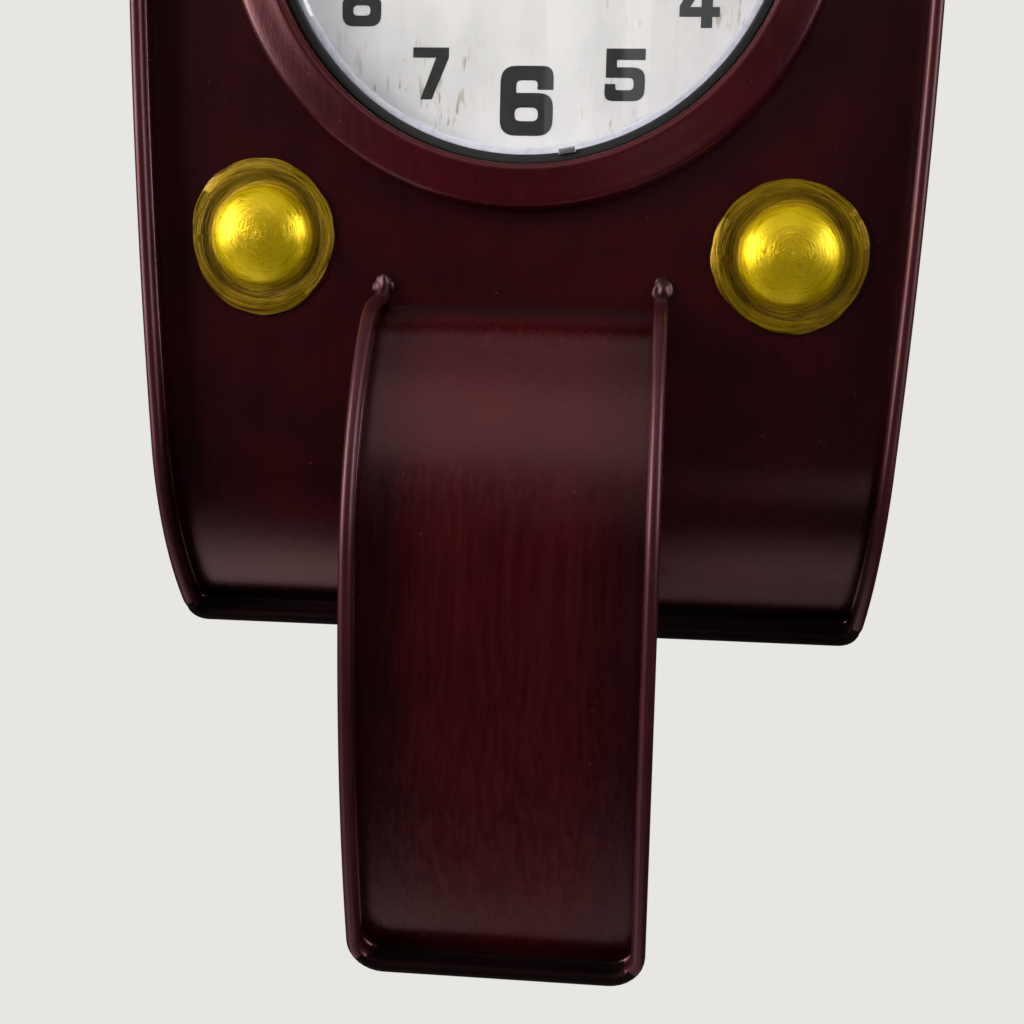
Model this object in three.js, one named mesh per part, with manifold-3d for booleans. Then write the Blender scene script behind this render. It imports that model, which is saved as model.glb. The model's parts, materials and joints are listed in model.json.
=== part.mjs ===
// A wall clock in painted sheet steel, shaped like the front of an old motor scooter: an arched
// panel with a big round dial, two yellow lamps and a curved mudguard.
// Millimetres, +Z up, the front faces -Y and the wall is the plane Y = 0. The origin is on the back
// face of the hanger bracket, just above its keyhole.
import * as THREE from "three";
import { mergeVertices } from "three/addons/utils/BufferGeometryUtils.js";
import Module from "manifold-3d";

const wasm = await Module();
wasm.setup();

// ---- driving dimensions ----
const gap = 0.3; // between two pieces that touch
const roundSides = 48; // sides of a large round piece
const panelFront = -34; // front face of the flat part of the panel
const sheet = 1.2; // steel sheet

// bezel, glass and dial
const glassRadius = 97;
const glassThick = 3;
const glassBevel = 3;
const glassFront = panelFront - 8;
const gasketWidth = 3.4;
const gasketOuter = glassRadius + gap + gasketWidth;
const bezelInner = gasketOuter + gap;
const bezelRadius = bezelInner + 16.5;
const bezelRise = 13.3;
const bezelShoulder = 9.4;
const dialCardFront = -31.5;
const cardThick = 0.3;
const dialThick = 0.9;
const panThick = 1;
const studCircle = bezelInner + 7.5;
const studRadius = 2;
const panFlange = studCircle + 4;
const clipCount = 3;
const clipHook = 0.9; // over the edge of the glass
const clipHeight = 2.2;
const firstClip = THREE.MathUtils.degToRad(170);
const spacerInner = glassRadius - glassBevel;

// panel, measured from the dial centre
const panelHalf = bezelRadius + 38.4; // half width over the rim, at the dial centre
const panelLean = 0.0189; // how much the half width grows per mm upwards there
const panelTaper = 0.000145; // and how much it shrinks with the square of the height
const curlStart = bezelRadius + 93.5; // below the dial centre
const curlRadius = 98;
const curlAngle = THREE.MathUtils.degToRad(44);
const panelCorner = 6;
const rimRadius = 2.7; // the round rod along every edge
const flangeHeight = 5; // turned-up edge under the rod

// mudguard
const guardHalf = 57.3; // half width over the rim
const guardRoot = bezelRadius + 37.4; // where its sheet meets the panel, below the dial centre
const guardRootAngle = THREE.MathUtils.degToRad(70); // to the panel, there
const guardShoulderAngle = THREE.MathUtils.degToRad(40); // where the tight bend ends
const guardRootLength = 12.7; // straight, before the tight bend
const guardBendRadius = 35;
const guardUpperRadius = 125;
const guardLowerRadius = 425;
const guardLowerLength = 161;
const guardCorner = 12;

// lamps
const lampOffset = panelHalf - 52.7;
const lampDrop = bezelRadius + 13.6;
const lampSkew = 2.1; // the left lamp is this much higher, the right one this much lower
const lampRadius = 30;
const domeRadius = 20;
const domeRise = 10.5;
const lampSheet = 1;
const lampStudRadius = 2;

// hands
const minuteLength = spacerInner - 14;
const secondLength = minuteLength + 2;
const hourLength = 0.7 * minuteLength;
const handThick = 0.6;
const handPitch = 1.5; // from one hand to the next

// movement
const batteryRadius = 7.1;
const batteryLength = 48.5;
const terminalRise = 1; // the battery's button
const batteryRoom = 0.8; // the bay is this much taller than the battery
const contactThick = 0.4;
const caseWall = 1.2;
const caseDepth = caseWall + 2 * batteryRadius + 0.6;
const bushRadius = 4;
const layerPitch = 1.2; // from one level of wheels to the next
const wheelThick = 0.8;
const arborRadius = 0.5;
const trainDistance = 11; // centre to third wheel
const motionDistance = 9; // centre to reverser, and reverser to setting knob
const secondDistance = 7.2; // centre to intermediate wheel
const rotorDistance = 6.7;
const addendum = 0.7; // of a tooth, in modules
const dedendum = 1.15;
const toothRoot = 0.21; // half a tooth's width at its root, in tooth pitches
const toothTip = 0.09;
const wheelRoom = 0.54; // between the centre wheel's teeth and the battery bay

// hanger bracket and wall posts
const hangerHalf = 17;
const hangerTop = 9;
const hangerFoot = 13;
const keyholeRadius = 4.2;
const slotRadius = 2.1;
const keyholeDrop = 12;
const slotDrop = 5;
const hangerRise = panFlange + 21.5; // dial centre to the hanging point
const postOffset = panelHalf - 38;
const postDrop = lampDrop + 54;
const postRadius = 5;
const footRadius = 8;
const footThick = 5;

// ---- finishes ----
const finish = (color, roughness, metalness) =>
  new THREE.MeshStandardMaterial({ color, roughness, metalness });
const maroonPaint = finish(0x2a070c, 0.35, 0.1);
const bezelPaint = finish(0x3d0f15, 0.4, 0.1);
const rimPaint = finish(0x4a1518, 0.35, 0.1);
const yellowLacquer = finish(0xb08c00, 0.3, 0.4);
const clearGlass = finish(0xdfe6ec, 0.05, 0);
const blackRubber = finish(0x0b0b0c, 0.8, 0);
const paleRing = finish(0xb9b6c8, 0.4, 0.2);
const printedCard = finish(0xe4e2de, 0.9, 0);
const zincSteel = finish(0x9a9c9e, 0.4, 0.9);
const aluminium = finish(0xb9bbbd, 0.35, 0.9);
const blackPaint = finish(0x101010, 0.5, 0.2);
const blackPlastic = finish(0x161616, 0.6, 0);
const whitePlastic = finish(0xe6e4dd, 0.6, 0);
const brass = finish(0xb08d3f, 0.3, 1);
const copper = finish(0xa5562a, 0.4, 1);
const greenBoard = finish(0x1d5a33, 0.6, 0);
const greyMagnet = finish(0x4a4d50, 0.5, 0.6);
const batteryWrap = finish(0x2d4a86, 0.4, 0.2);

// ---- geometry helpers ----
const vec = (x, y, z) => new THREE.Vector3(x, y, z);
const steps = (count) => Array.from({ length: count }, (_, i) => i);

function merged(geometry) {
  const bare = geometry.index ? geometry.toNonIndexed() : geometry.clone();
  bare.deleteAttribute("normal");
  bare.deleteAttribute("uv");
  return mergeVertices(bare, 1e-3);
}

// A closed geometry as a solid with its faces pointing out.
function solidOf(geometry) {
  const bare = merged(geometry);
  const triVerts = new Uint32Array(bare.index.array);
  const make = () =>
    new wasm.Manifold(
      new wasm.Mesh({
        numProp: 3,
        vertProperties: bare.attributes.position.array,
        triVerts,
      }),
    );
  const made = make();
  if (made.volume() > 0) return made;
  for (let i = 0; i < triVerts.length; i += 3)
    [triVerts[i + 1], triVerts[i + 2]] = [triVerts[i + 2], triVerts[i + 1]];
  return make();
}

function geometryOf(solid) {
  const mesh = solid.getMesh();
  return new THREE.BufferGeometry()
    .setAttribute("position", new THREE.BufferAttribute(mesh.vertProperties, 3))
    .setIndex(new THREE.BufferAttribute(mesh.triVerts, 1));
}

const join = (...solids) => solids.reduce((a, b) => a.add(b));
const cut = (solid, ...tools) => tools.reduce((a, b) => a.subtract(b), solid);

// A body of revolution about an axis along Y: points are [radius, y], as a loop unless it starts
// and ends on the axis.
function turned(points, segments, x = 0, z = 0) {
  const closed = points[0][0] > 0;
  const loop = closed ? [...points, points[0]] : points;
  const geometry = new THREE.LatheGeometry(
    loop.map(([r, y]) => new THREE.Vector2(r, y)),
    segments,
  );
  return solidOf(geometry.translate(x, 0, z));
}

const disc = (radius, front, back, segments, x = 0, z = 0) =>
  turned([[0, front], [radius, front], [radius, back], [0, back]], segments, x, z);

const tube = (inner, outer, front, back, segments, x = 0, z = 0) =>
  turned(
    [[inner, front], [outer, front], [outer, back], [inner, back]],
    segments,
    x,
    z,
  );

// A flat plate: its outline is drawn in X and Z and it fills front to back along Y.
function plate(shape, front, back, x = 0, z = 0) {
  const geometry = new THREE.ExtrudeGeometry(shape, {
    depth: back - front,
    bevelEnabled: false,
    curveSegments: 8,
  });
  return solidOf(geometry.rotateX(Math.PI / 2).translate(x, back, z));
}

const polygon = (points) =>
  new THREE.Shape(points.map(([x, z]) => new THREE.Vector2(x, z)));

const rectangle = (x0, x1, z0, z1) =>
  polygon([[x0, z0], [x1, z0], [x1, z1], [x0, z1]]);

function box(x0, x1, y0, y1, z0, z1) {
  const geometry = new THREE.BoxGeometry(x1 - x0, y1 - y0, z1 - z0);
  return solidOf(
    geometry.translate((x0 + x1) / 2, (y0 + y1) / 2, (z0 + z1) / 2),
  );
}

// A skin through rings of points, with flat ends unless the rings close on themselves.
function loft(rings, closed) {
  const count = rings[0].length;
  const positions = rings.flat().flatMap((p) => [p.x, p.y, p.z]);
  const index = [];
  const last = closed ? rings.length : rings.length - 1;
  for (let i = 0; i < last; i++)
    for (let j = 0; j < count; j++) {
      const a = i * count + j;
      const b = i * count + ((j + 1) % count);
      const c = ((i + 1) % rings.length) * count + ((j + 1) % count);
      const d = ((i + 1) % rings.length) * count + j;
      index.push(a, b, c, a, c, d);
    }
  if (!closed)
    for (let j = 1; j < count - 1; j++) {
      const end = (rings.length - 1) * count;
      index.push(0, j + 1, j, end, end + j, end + j + 1);
    }
  const geometry = new THREE.BufferGeometry();
  geometry.setAttribute("position", new THREE.Float32BufferAttribute(positions, 3));
  geometry.setIndex(index);
  return solidOf(geometry);
}

// ---- bent sheets with a turned-up, rod-rimmed edge ----
// A spine runs down the middle of the sheet's front face: heading 0 is straight down, and it grows
// as the sheet turns towards the wall. Each piece of it is [length, radius].
function spineAt(spine, s) {
  let { z, y, heading } = spine;
  let left = s;
  spine.pieces.forEach(([length, radius], i) => {
    const last = i === spine.pieces.length - 1;
    const run = last ? left : Math.min(left, length);
    const turn = radius === Infinity ? 0 : run / radius;
    if (turn === 0) {
      z -= run * Math.cos(heading);
      y += run * Math.sin(heading);
    } else {
      z -= radius * (Math.sin(heading + turn) - Math.sin(heading));
      y += radius * (Math.cos(heading) - Math.cos(heading + turn));
    }
    heading += turn;
    left -= run;
  });
  return { z, y, normal: vec(0, -Math.cos(heading), -Math.sin(heading)) };
}

function onSheet(spine, x, s, rise = 0) {
  const at = spineAt(spine, s);
  return vec(x, at.y, at.z).addScaledVector(at.normal, rise);
}

// rows are [s, half width] down the sheet
function sheetBody(spine, rows, inset) {
  return loft(
    rows.map(([s, half]) => {
      const w = Math.max(half - inset, 0.2);
      return [
        onSheet(spine, -w, s),
        onSheet(spine, w, s),
        onSheet(spine, w, s, -sheet),
        onSheet(spine, -w, s, -sheet),
      ];
    }),
    false,
  );
}

// The edge of the sheet as places with an outward direction and the sheet's normal: up the right
// side, over the top and down the left side.
function edgeOf(spine, rows, closed, heightAt = () => flangeHeight) {
  const up = [...rows].reverse();
  const right = up.map(([s, half]) => [half, s]);
  const left = rows.map(([s, half]) => [-half, s]);
  const path = [...right, ...left].filter(
    ([x, s], i, all) => i === 0 || Math.hypot(x - all[i - 1][0], s - all[i - 1][1]) > 0.5,
  );
  const trimmed = closed ? path : [...left, ...right];
  const places = trimmed.map(([x, s]) => onSheet(spine, x, s));
  return places.map((place, i) => {
    const n = places.length;
    const before = places[closed ? (i + n - 1) % n : Math.max(i - 1, 0)];
    const after = places[closed ? (i + 1) % n : Math.min(i + 1, n - 1)];
    const along = after.clone().sub(before).normalize();
    const normal = spineAt(spine, trimmed[i][1]).normal;
    const outward = along.clone().cross(normal).normalize();
    return { place, outward, normal, height: heightAt(trimmed[i][1]) };
  });
}

const across = ({ place, outward, normal }, out, rise) =>
  place.clone().addScaledVector(outward, out).addScaledVector(normal, rise);

const flangeBody = (edge, closed) =>
  loft(
    edge.map((e) => [
      across(e, -sheet, -sheet),
      across(e, 0, -sheet),
      across(e, 0, e.height),
      across(e, -sheet, e.height),
    ]),
    closed,
  );

function rodBody(edge, closed, sides = 8) {
  return loft(
    edge.map((e) =>
      steps(sides).map((i) => {
        const a = (2 * Math.PI * i) / sides;
        const out = rimRadius * Math.cos(a) - sheet / 2;
        return across(e, out, e.height + gap + rimRadius * (1 + Math.sin(a)));
      }),
    ),
    closed,
  );
}

const edgeInset = rimRadius - sheet / 2; // from the outside of the rod to the flange's outer face

// rows that round the two bottom corners of a sheet of half width half that ends at s
const cornerRows = (s, half, radius, count) =>
  steps(count + 1).map((i) => {
    const a = (Math.PI / 2) * (i / count);
    return [s - radius + radius * Math.sin(a), half - radius + radius * Math.cos(a)];
  });

// ---- panel ----
const dialZ = -hangerRise;
const panelBack = panelFront + sheet;
const flangeHalf = (s) => panelHalf - panelLean * s - panelTaper * s * s - edgeInset;
const archRadius = flangeHalf(0) / Math.cos(Math.atan(panelLean));
const archCentre = archRadius * Math.sin(Math.atan(panelLean)); // above the dial centre
const panelEnd = curlStart + curlRadius * curlAngle;
const panelSpine = {
  z: dialZ + archCentre + archRadius,
  y: panelFront,
  heading: 0,
  pieces: [
    [archCentre + archRadius + curlStart, Infinity],
    [curlRadius * curlAngle, curlRadius],
  ],
};
const fromTop = (s) => s + archCentre + archRadius; // dial-centre distance to spine distance
const archSteps = 14;
const archRows = steps(archSteps).map((i) => {
  const a = (Math.PI / 2 - Math.atan(panelLean)) * (i / archSteps) + Math.PI / 2;
  const turn = Math.PI - a;
  return [archRadius * (1 - Math.sin(turn)), archRadius * Math.cos(turn)];
});
const flatRows = steps(3).map((i) => (curlStart * i) / 3);
const curlRows = steps(6).map((i) => curlStart + ((panelEnd - panelCorner - curlStart) * i) / 6);
const panelRows = [
  ...archRows,
  ...[...flatRows, ...curlRows].map((s) => [fromTop(s), flangeHalf(s)]),
  ...cornerRows(fromTop(panelEnd), flangeHalf(panelEnd), panelCorner, 2),
];
const panelEdge = edgeOf(panelSpine, panelRows, true);
const dialHole = glassRadius + gap + 1.6;

const lampPlaces = [
  ["left", -lampOffset, dialZ - lampDrop + lampSkew],
  ["right", lampOffset, dialZ - lampDrop - lampSkew],
];
const postPlaces = [
  ["left", -postOffset, dialZ - postDrop],
  ["right", postOffset, dialZ - postDrop],
];
const studPlaces = steps(3).map((i) => {
  const a = Math.PI / 6 + (2 * Math.PI * i) / 3;
  return [`${i + 1}`, studCircle * Math.cos(a), dialZ + studCircle * Math.sin(a)];
});

const holeThrough = (radius, x, z) =>
  disc(radius, panelFront - 2 * sheet, panelBack + 4 * sheet, 16, x, z);

function bodyPanel() {
  const skin = join(
    sheetBody(panelSpine, panelRows, sheet / 3),
    flangeBody(panelEdge, true),
  );
  const holes = [
    disc(dialHole, panelFront - sheet, panelBack + sheet, roundSides, 0, dialZ),
    ...lampPlaces.map(([, x, z]) => holeThrough(lampStudRadius + gap, x, z)),
    ...studPlaces.map(([, x, z]) => holeThrough(studRadius + gap, x, z)),
  ];
  return cut(skin, ...holes);
}

// ---- mudguard ----
const rootFlange = 0.4; // height of the flange at the panel
const guardFade = 30; // it grows to its full height over this length
const guardOverrun = 3; // run on behind the panel's face, and trimmed off there
const guardPieces = [
  [guardRootLength + guardOverrun, Infinity],
  [guardBendRadius * (guardRootAngle - guardShoulderAngle), guardBendRadius],
  [guardUpperRadius * guardShoulderAngle, guardUpperRadius],
  [guardLowerLength, guardLowerRadius],
];
const guardSpine = {
  z: dialZ - guardRoot + guardOverrun * Math.cos(guardRootAngle),
  y: panelFront + guardOverrun * Math.sin(guardRootAngle),
  heading: -guardRootAngle,
  pieces: guardPieces,
};
const guardSide = guardHalf - edgeInset;
const pieceSteps = [1, 4, 5, 4];
const guardRows = [];
let guardEnd = 0;
guardPieces.forEach(([length], i) => {
  const run = i === guardPieces.length - 1 ? length - guardCorner : length;
  steps(pieceSteps[i]).forEach((j) => guardRows.push([guardEnd + (run * j) / pieceSteps[i], guardSide]));
  guardEnd += length;
});
guardRows.push(...cornerRows(guardEnd, guardSide, guardCorner, 3));
const guardFlange = (s) =>
  rootFlange +
  (flangeHeight - rootFlange) * THREE.MathUtils.smoothstep(s - guardOverrun, 0, guardFade);
const guardEdge = edgeOf(guardSpine, guardRows, false, guardFlange);
const behindPanelFace = box(
  -2 * guardHalf,
  2 * guardHalf,
  panelFront - gap,
  -panelFront,
  dialZ - 2 * guardRoot - guardLowerLength,
  dialZ,
);
const mudguard = () =>
  cut(
    join(
      sheetBody(guardSpine, guardRows, sheet / 3),
      flangeBody(guardEdge, false),
    ),
    behindPanelFace,
  );
const mudguardRim = () => cut(rodBody(guardEdge, false), behindPanelFace);

const beadRadius = rimRadius + 0.2;
const rootRise = rootFlange + gap + 2 * rimRadius; // top of the rod above the sheet, at the panel
const rodTopZ = dialZ - guardRoot + rootRise / Math.sin(guardRootAngle);
function weldBead(x) {
  const ball = new THREE.SphereGeometry(beadRadius, 12, 8);
  ball.translate(x, panelFront - gap, rodTopZ + gap + beadRadius);
  return cut(solidOf(ball), behindPanelFace);
}

// ---- lamps ----
function lampDisc(x, z) {
  const base = panelFront - gap;
  const front = base - lampSheet;
  const dome = (radius, rise, count) =>
    steps(count + 1).map((i) => {
      const a = (Math.PI / 2) * (i / count);
      return [radius * Math.sin(a), front - rise * Math.cos(a)];
    });
  const outer = [
    ...dome(domeRadius, domeRise, 4),
    [domeRadius + 3, front - 0.5],
    [lampRadius, front],
    [lampRadius, base],
    [domeRadius - lampSheet, base],
  ];
  const inner = dome(domeRadius - lampSheet, domeRise - lampSheet, 3).reverse();
  return turned([...outer, ...inner], 20, x, z);
}

const lampStud = (x, z) =>
  disc(
    lampStudRadius,
    panelFront - gap - domeRise + gap,
    panelBack + 5,
    12,
    x,
    z,
  );

function hexNut(hole, x, z, front, thick, width) {
  const shape = polygon(
    steps(6).map((i) => {
      const a = (Math.PI / 3) * i;
      return [(width / Math.sqrt(3)) * Math.cos(a), (width / Math.sqrt(3)) * Math.sin(a)];
    }),
  );
  return cut(
    plate(shape, front, front + thick, x, z),
    disc(hole, front - 1, front + thick + 1, 12, x, z),
  );
}

// ---- bezel, glass and dial ----
function bezelRing() {
  const foot = panelFront - gap;
  const outer = [
    [bezelRadius, foot],
    [bezelRadius - 0.2, panelFront - bezelShoulder + 1.6],
    [bezelRadius - 0.9, panelFront - bezelShoulder],
    [bezelRadius - 2.6, panelFront - bezelShoulder - 1.1],
    [bezelInner + 5.5, panelFront - bezelRise + 0.9],
    [bezelInner + 2.4, panelFront - bezelRise],
    [bezelInner + 0.7, panelFront - bezelRise + 0.9],
    [bezelInner, panelFront - bezelRise + 2.6],
    [bezelInner, foot - 3],
  ];
  const inner = [
    [bezelInner + sheet, foot - 3],
    [bezelInner + sheet, panelFront - bezelRise + 2.8],
    [bezelInner + 2.6, panelFront - bezelRise + sheet],
    [bezelRadius - 2.8, panelFront - bezelShoulder - 1.1 + sheet],
    [bezelRadius - sheet, foot],
  ];
  return turned([...outer, ...inner], roundSides, 0, dialZ);
}

const glassBack = glassFront + glassThick;
const glassDisc = () =>
  turned(
    [
      [0, glassFront],
      [glassRadius - glassBevel, glassFront],
      [glassRadius, glassFront + 1.2],
      [glassRadius, glassBack],
      [0, glassBack],
    ],
    roundSides,
    0,
    dialZ,
  );

const gasket = () =>
  tube(glassRadius + gap, gasketOuter, glassFront - 0.5, panelFront - gap, roundSides, 0, dialZ);

const spacerRing = () =>
  tube(spacerInner, glassRadius - 0.5, glassBack + gap, dialCardFront - gap, roundSides, 0, dialZ);

// A clip hooks over the edge of the glass from the inner wall of the gasket.
function glassClip(angle) {
  const wide = 6.6;
  const front = glassFront - 0.5 - gap;
  const inner = glassRadius - clipHook;
  const clip = box(-wide / 2, wide / 2, front - 0.8, front, inner, inner + clipHeight);
  const turn = new THREE.Matrix4().makeRotationY(angle);
  return solidOf(geometryOf(clip).applyMatrix4(turn).translate(0, 0, dialZ));
}

const cardBack = dialCardFront + cardThick;
const dialBack = cardBack + gap + dialThick;
const panFloorFront = dialBack + gap;
const panFloorBack = panFloorFront + panThick;
const bushHole = bushRadius + gap;
const dialCard = () => tube(bushHole, glassRadius, dialCardFront, cardBack, roundSides, 0, dialZ);
const dialPlate = () => tube(bushHole, glassRadius, cardBack + gap, dialBack, roundSides, 0, dialZ);
function dialPan() {
  const flange = panelBack + gap;
  const wall = glassRadius + gap;
  const cup = turned(
    [
      [bushHole, panFloorFront],
      [wall, panFloorFront],
      [wall, flange],
      [panFlange, flange],
      [panFlange, flange + panThick],
      [wall + panThick, flange + panThick],
      [wall + panThick, panFloorBack],
      [bushHole, panFloorBack],
    ],
    roundSides,
    0,
    dialZ,
  );
  return cut(cup, ...studPlaces.map(([, x, z]) => holeThrough(studRadius + gap, x, z)));
}

const bezelStud = (x, z) =>
  disc(studRadius, panelFront - bezelShoulder + 0.6, panelBack + panThick + 6, 12, x, z);

// ---- hanger bracket and wall posts ----
function hangerBracket() {
  const feet = panelBack + gap;
  const thick = 1.5;
  const foot = hangerHalf + hangerFoot;
  const outline = [
    [-foot, feet],
    [-hangerHalf + thick, feet],
    [-hangerHalf + thick, -thick],
    [hangerHalf - thick, -thick],
    [hangerHalf - thick, feet],
    [foot, feet],
    [foot, feet + thick],
    [hangerHalf, feet + thick],
    [hangerHalf, 0],
    [-hangerHalf, 0],
    [-hangerHalf, feet + thick],
    [-foot, feet + thick],
  ];
  const bottom = -keyholeDrop - keyholeRadius - 3;
  const channel = new THREE.ExtrudeGeometry(polygon(outline), {
    depth: hangerTop - bottom,
    bevelEnabled: false,
  });
  return cut(
    solidOf(channel.translate(0, 0, bottom)),
    disc(keyholeRadius, -3 * thick, thick, 16, 0, -keyholeDrop),
    disc(slotRadius, -3 * thick, thick, 16, 0, -slotDrop),
    box(-slotRadius, slotRadius, -3 * thick, thick, -keyholeDrop, -slotDrop),
  );
}

const wallPost = (x, z) => disc(postRadius, panelBack + gap, -footThick - gap, 16, x, z);
const rubberFoot = (x, z) => disc(footRadius, -footThick, 0, 16, x, z);

// ---- wheels ----
// A wheel's tooth has straight flanks, with room round it for its neighbour's.
function gearShape(teeth, module, phase) {
  const tip = module * (teeth / 2 + addendum);
  const root = module * (teeth / 2 - dedendum);
  const pitchAngle = (2 * Math.PI) / teeth;
  return polygon(
    steps(teeth).flatMap((i) => {
      const middle = phase + i * pitchAngle;
      const corner = (radius, share) => [
        radius * Math.cos(middle + share * pitchAngle),
        radius * Math.sin(middle + share * pitchAngle),
      ];
      return [
        corner(root, -toothRoot),
        corner(tip, -toothTip),
        corner(tip, toothTip),
        corner(root, toothRoot),
      ];
    }),
  );
}

// The phase that puts wheel b in mesh with wheel a.
function meshPhase(a, b) {
  const line = Math.atan2(b.z - a.z, b.x - a.x);
  const place = ((line - a.phase) * a.teeth) / (2 * Math.PI);
  return line + Math.PI - ((0.5 - place) * 2 * Math.PI) / b.teeth;
}

const caseFront = panFloorBack + gap;
const firstLayer = caseFront + caseWall + 0.5;
const layer = (i) => firstLayer + i * layerPitch;
const gear = (g) =>
  plate(gearShape(g.teeth, g.module, g.phase), layer(g.level), layer(g.level) + wheelThick, g.x, g.z);

const at = (from, distance, degrees) => ({
  x: from.x + distance * Math.cos(THREE.MathUtils.degToRad(degrees)),
  z: from.z + distance * Math.sin(THREE.MathUtils.degToRad(degrees)),
});
const centre = { x: 0, z: dialZ };
const thirdAxis = at(centre, trainDistance, 90);
const reverserAxis = at(centre, motionDistance, 190);
const knobAxis = at(reverserAxis, motionDistance, 185);
const intermediateAxis = at(centre, secondDistance, 20);
const rotorAxis = at(intermediateAxis, rotorDistance, 35);

// Two wheels in mesh share a module, which follows from their teeth and the distance.
function pair(a, b, distance) {
  const module = (2 * distance) / (a.teeth + b.teeth);
  a.module = module;
  b.module = module;
  a.phase = a.phase ?? 0;
  b.phase = meshPhase(a, b);
}
const leaf = (axis, teeth, level) => ({ ...axis, teeth, level });
const reverserPinion = leaf(reverserAxis, 6, 0);
const hourGear = leaf(centre, 24, 0);
const cannonPinion = leaf(centre, 8, 1);
const reverserGear = leaf(reverserAxis, 24, 1);
const knobPinion = leaf(knobAxis, 8, 1);
const thirdPinion = leaf(thirdAxis, 6, 2);
const centreGear = leaf(centre, 48, 2);
const secondPinion = leaf(centre, 6, 3);
const thirdGear = leaf(thirdAxis, 45, 3);
const bridgeLevel = 4;
const secondGear = leaf(centre, 30, 5);
const intermediatePinion = leaf(intermediateAxis, 6, 5);
const intermediateGear = leaf(intermediateAxis, 36, 6);
const rotorPinion = leaf(rotorAxis, 6, 6);
pair(reverserPinion, hourGear, motionDistance);
pair(cannonPinion, reverserGear, motionDistance);
pair(reverserGear, knobPinion, motionDistance);
pair(thirdPinion, centreGear, trainDistance);
pair(secondPinion, thirdGear, trainDistance);
pair(secondGear, intermediatePinion, secondDistance);
pair(intermediateGear, rotorPinion, rotorDistance);

const layerBack = (i) => layer(i) + wheelThick;
const arbor = (axis, front, back, radius = arborRadius) =>
  disc(radius, front, back, 10, axis.x, axis.z);
const pipeAt = (inner, outer, front, back) => tube(inner, outer, front, back, 16, 0, dialZ);

// the concentric shafts, from the inside out
const minuteInner = arborRadius + gap;
const minuteOuter = minuteInner + 0.8;
const hourInner = minuteOuter + gap;
const hourOuter = hourInner + 0.7;
const bushInner = hourOuter + gap;

const bushFront = dialCardFront - 2.2;
const hourFront = bushFront - gap - handThick;
const hourHandBack = bushFront - gap;
const minuteHandBack = hourHandBack - handPitch;
const secondHandBack = minuteHandBack - handPitch;
const minuteFront = minuteHandBack - handThick;
const secondFront = secondHandBack - handThick;

const hourWheel = () =>
  join(
    cut(gear(hourGear), disc(hourInner, layer(0) - 1, layerBack(0) + 1, 16, 0, dialZ)),
    pipeAt(hourInner, hourOuter, hourFront, layerBack(0)),
  );
const minuteWheel = () =>
  cut(
    join(
      gear(cannonPinion),
      gear(centreGear),
      disc(minuteOuter, minuteFront, layerBack(2), 16, 0, dialZ),
    ),
    disc(minuteInner, minuteFront - 1, layerBack(2) + 1, 10, 0, dialZ),
  );
const reverserBore = arborRadius + 0.5;
const reverserWheel = () =>
  cut(
    join(
      gear(reverserPinion),
      gear(reverserGear),
      disc(1.4, layer(0), layerBack(1), 12, reverserAxis.x, reverserAxis.z),
    ),
    disc(reverserBore, layer(0) - 1, layerBack(1) + 1, 12, reverserAxis.x, reverserAxis.z),
  );
const thirdWheel = () =>
  join(gear(thirdPinion), gear(thirdGear), arbor(thirdAxis, layer(1), layerBack(3)));
const secondWheel = () =>
  join(
    gear(secondPinion),
    gear(secondGear),
    arbor(centre, secondFront, layerBack(5) + layerPitch),
  );
const intermediateWheel = () =>
  join(
    gear(intermediatePinion),
    gear(intermediateGear),
    arbor(intermediateAxis, layer(5), layerBack(6) + layerPitch),
  );
const magnetRadius = 2.6;
const magnetFront = layerBack(6) + 0.4;
const magnetBack = magnetFront + 2.2;
const rotor = () =>
  join(
    gear(rotorPinion),
    arbor(rotorAxis, layer(5), magnetBack + 0.5),
    disc(magnetRadius, magnetFront, magnetBack, 16, rotorAxis.x, rotorAxis.z),
  );

// ---- movement case ----
const centreTip = centreGear.module * (centreGear.teeth / 2 + addendum);
const halfHigh = centreTip + wheelRoom + 2 * caseWall + 2 * batteryRadius + batteryRoom;
const halfWide = batteryLength / 2 + terminalRise + 3 * gap + 2 * contactThick + caseWall;
const caseBack = caseFront + caseDepth;
const bayTop = dialZ - centreTip - wheelRoom - caseWall; // under the wall over the battery bay
const coverFront = caseBack - caseWall;
const pocket = (low, high) =>
  box(caseWall - halfWide, halfWide - caseWall, caseFront + caseWall, caseBack + 1, low, high);
function movementCase() {
  const shell = cut(
    plate(rectangle(-halfWide, halfWide, dialZ - halfHigh, dialZ + halfHigh), caseFront, caseBack),
    pocket(dialZ - halfHigh + caseWall, bayTop),
    pocket(bayTop + caseWall, dialZ + halfHigh - caseWall),
  );
  const bush = disc(bushRadius, bushFront, caseFront + caseWall / 2, 24, 0, dialZ);
  const post = arbor(reverserAxis, caseFront + caseWall / 2, layerBack(1) + 0.2);
  const bore = disc(bushInner, bushFront - 1, caseFront + caseWall + 1, 16, 0, dialZ);
  return cut(join(shell, bush, post), bore);
}
const coverInset = caseWall + gap;
const coverLow = bayTop + caseWall + gap;
const coverHigh = dialZ + halfHigh - coverInset;
const knobHole = 2.2;
const rearCover = () =>
  cut(
    plate(
      rectangle(coverInset - halfWide, halfWide - coverInset, coverLow, coverHigh),
      coverFront,
      caseBack,
    ),
    disc(knobHole + gap, coverFront - 1, caseBack + 1, 16, knobAxis.x, knobAxis.z),
  );

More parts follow.
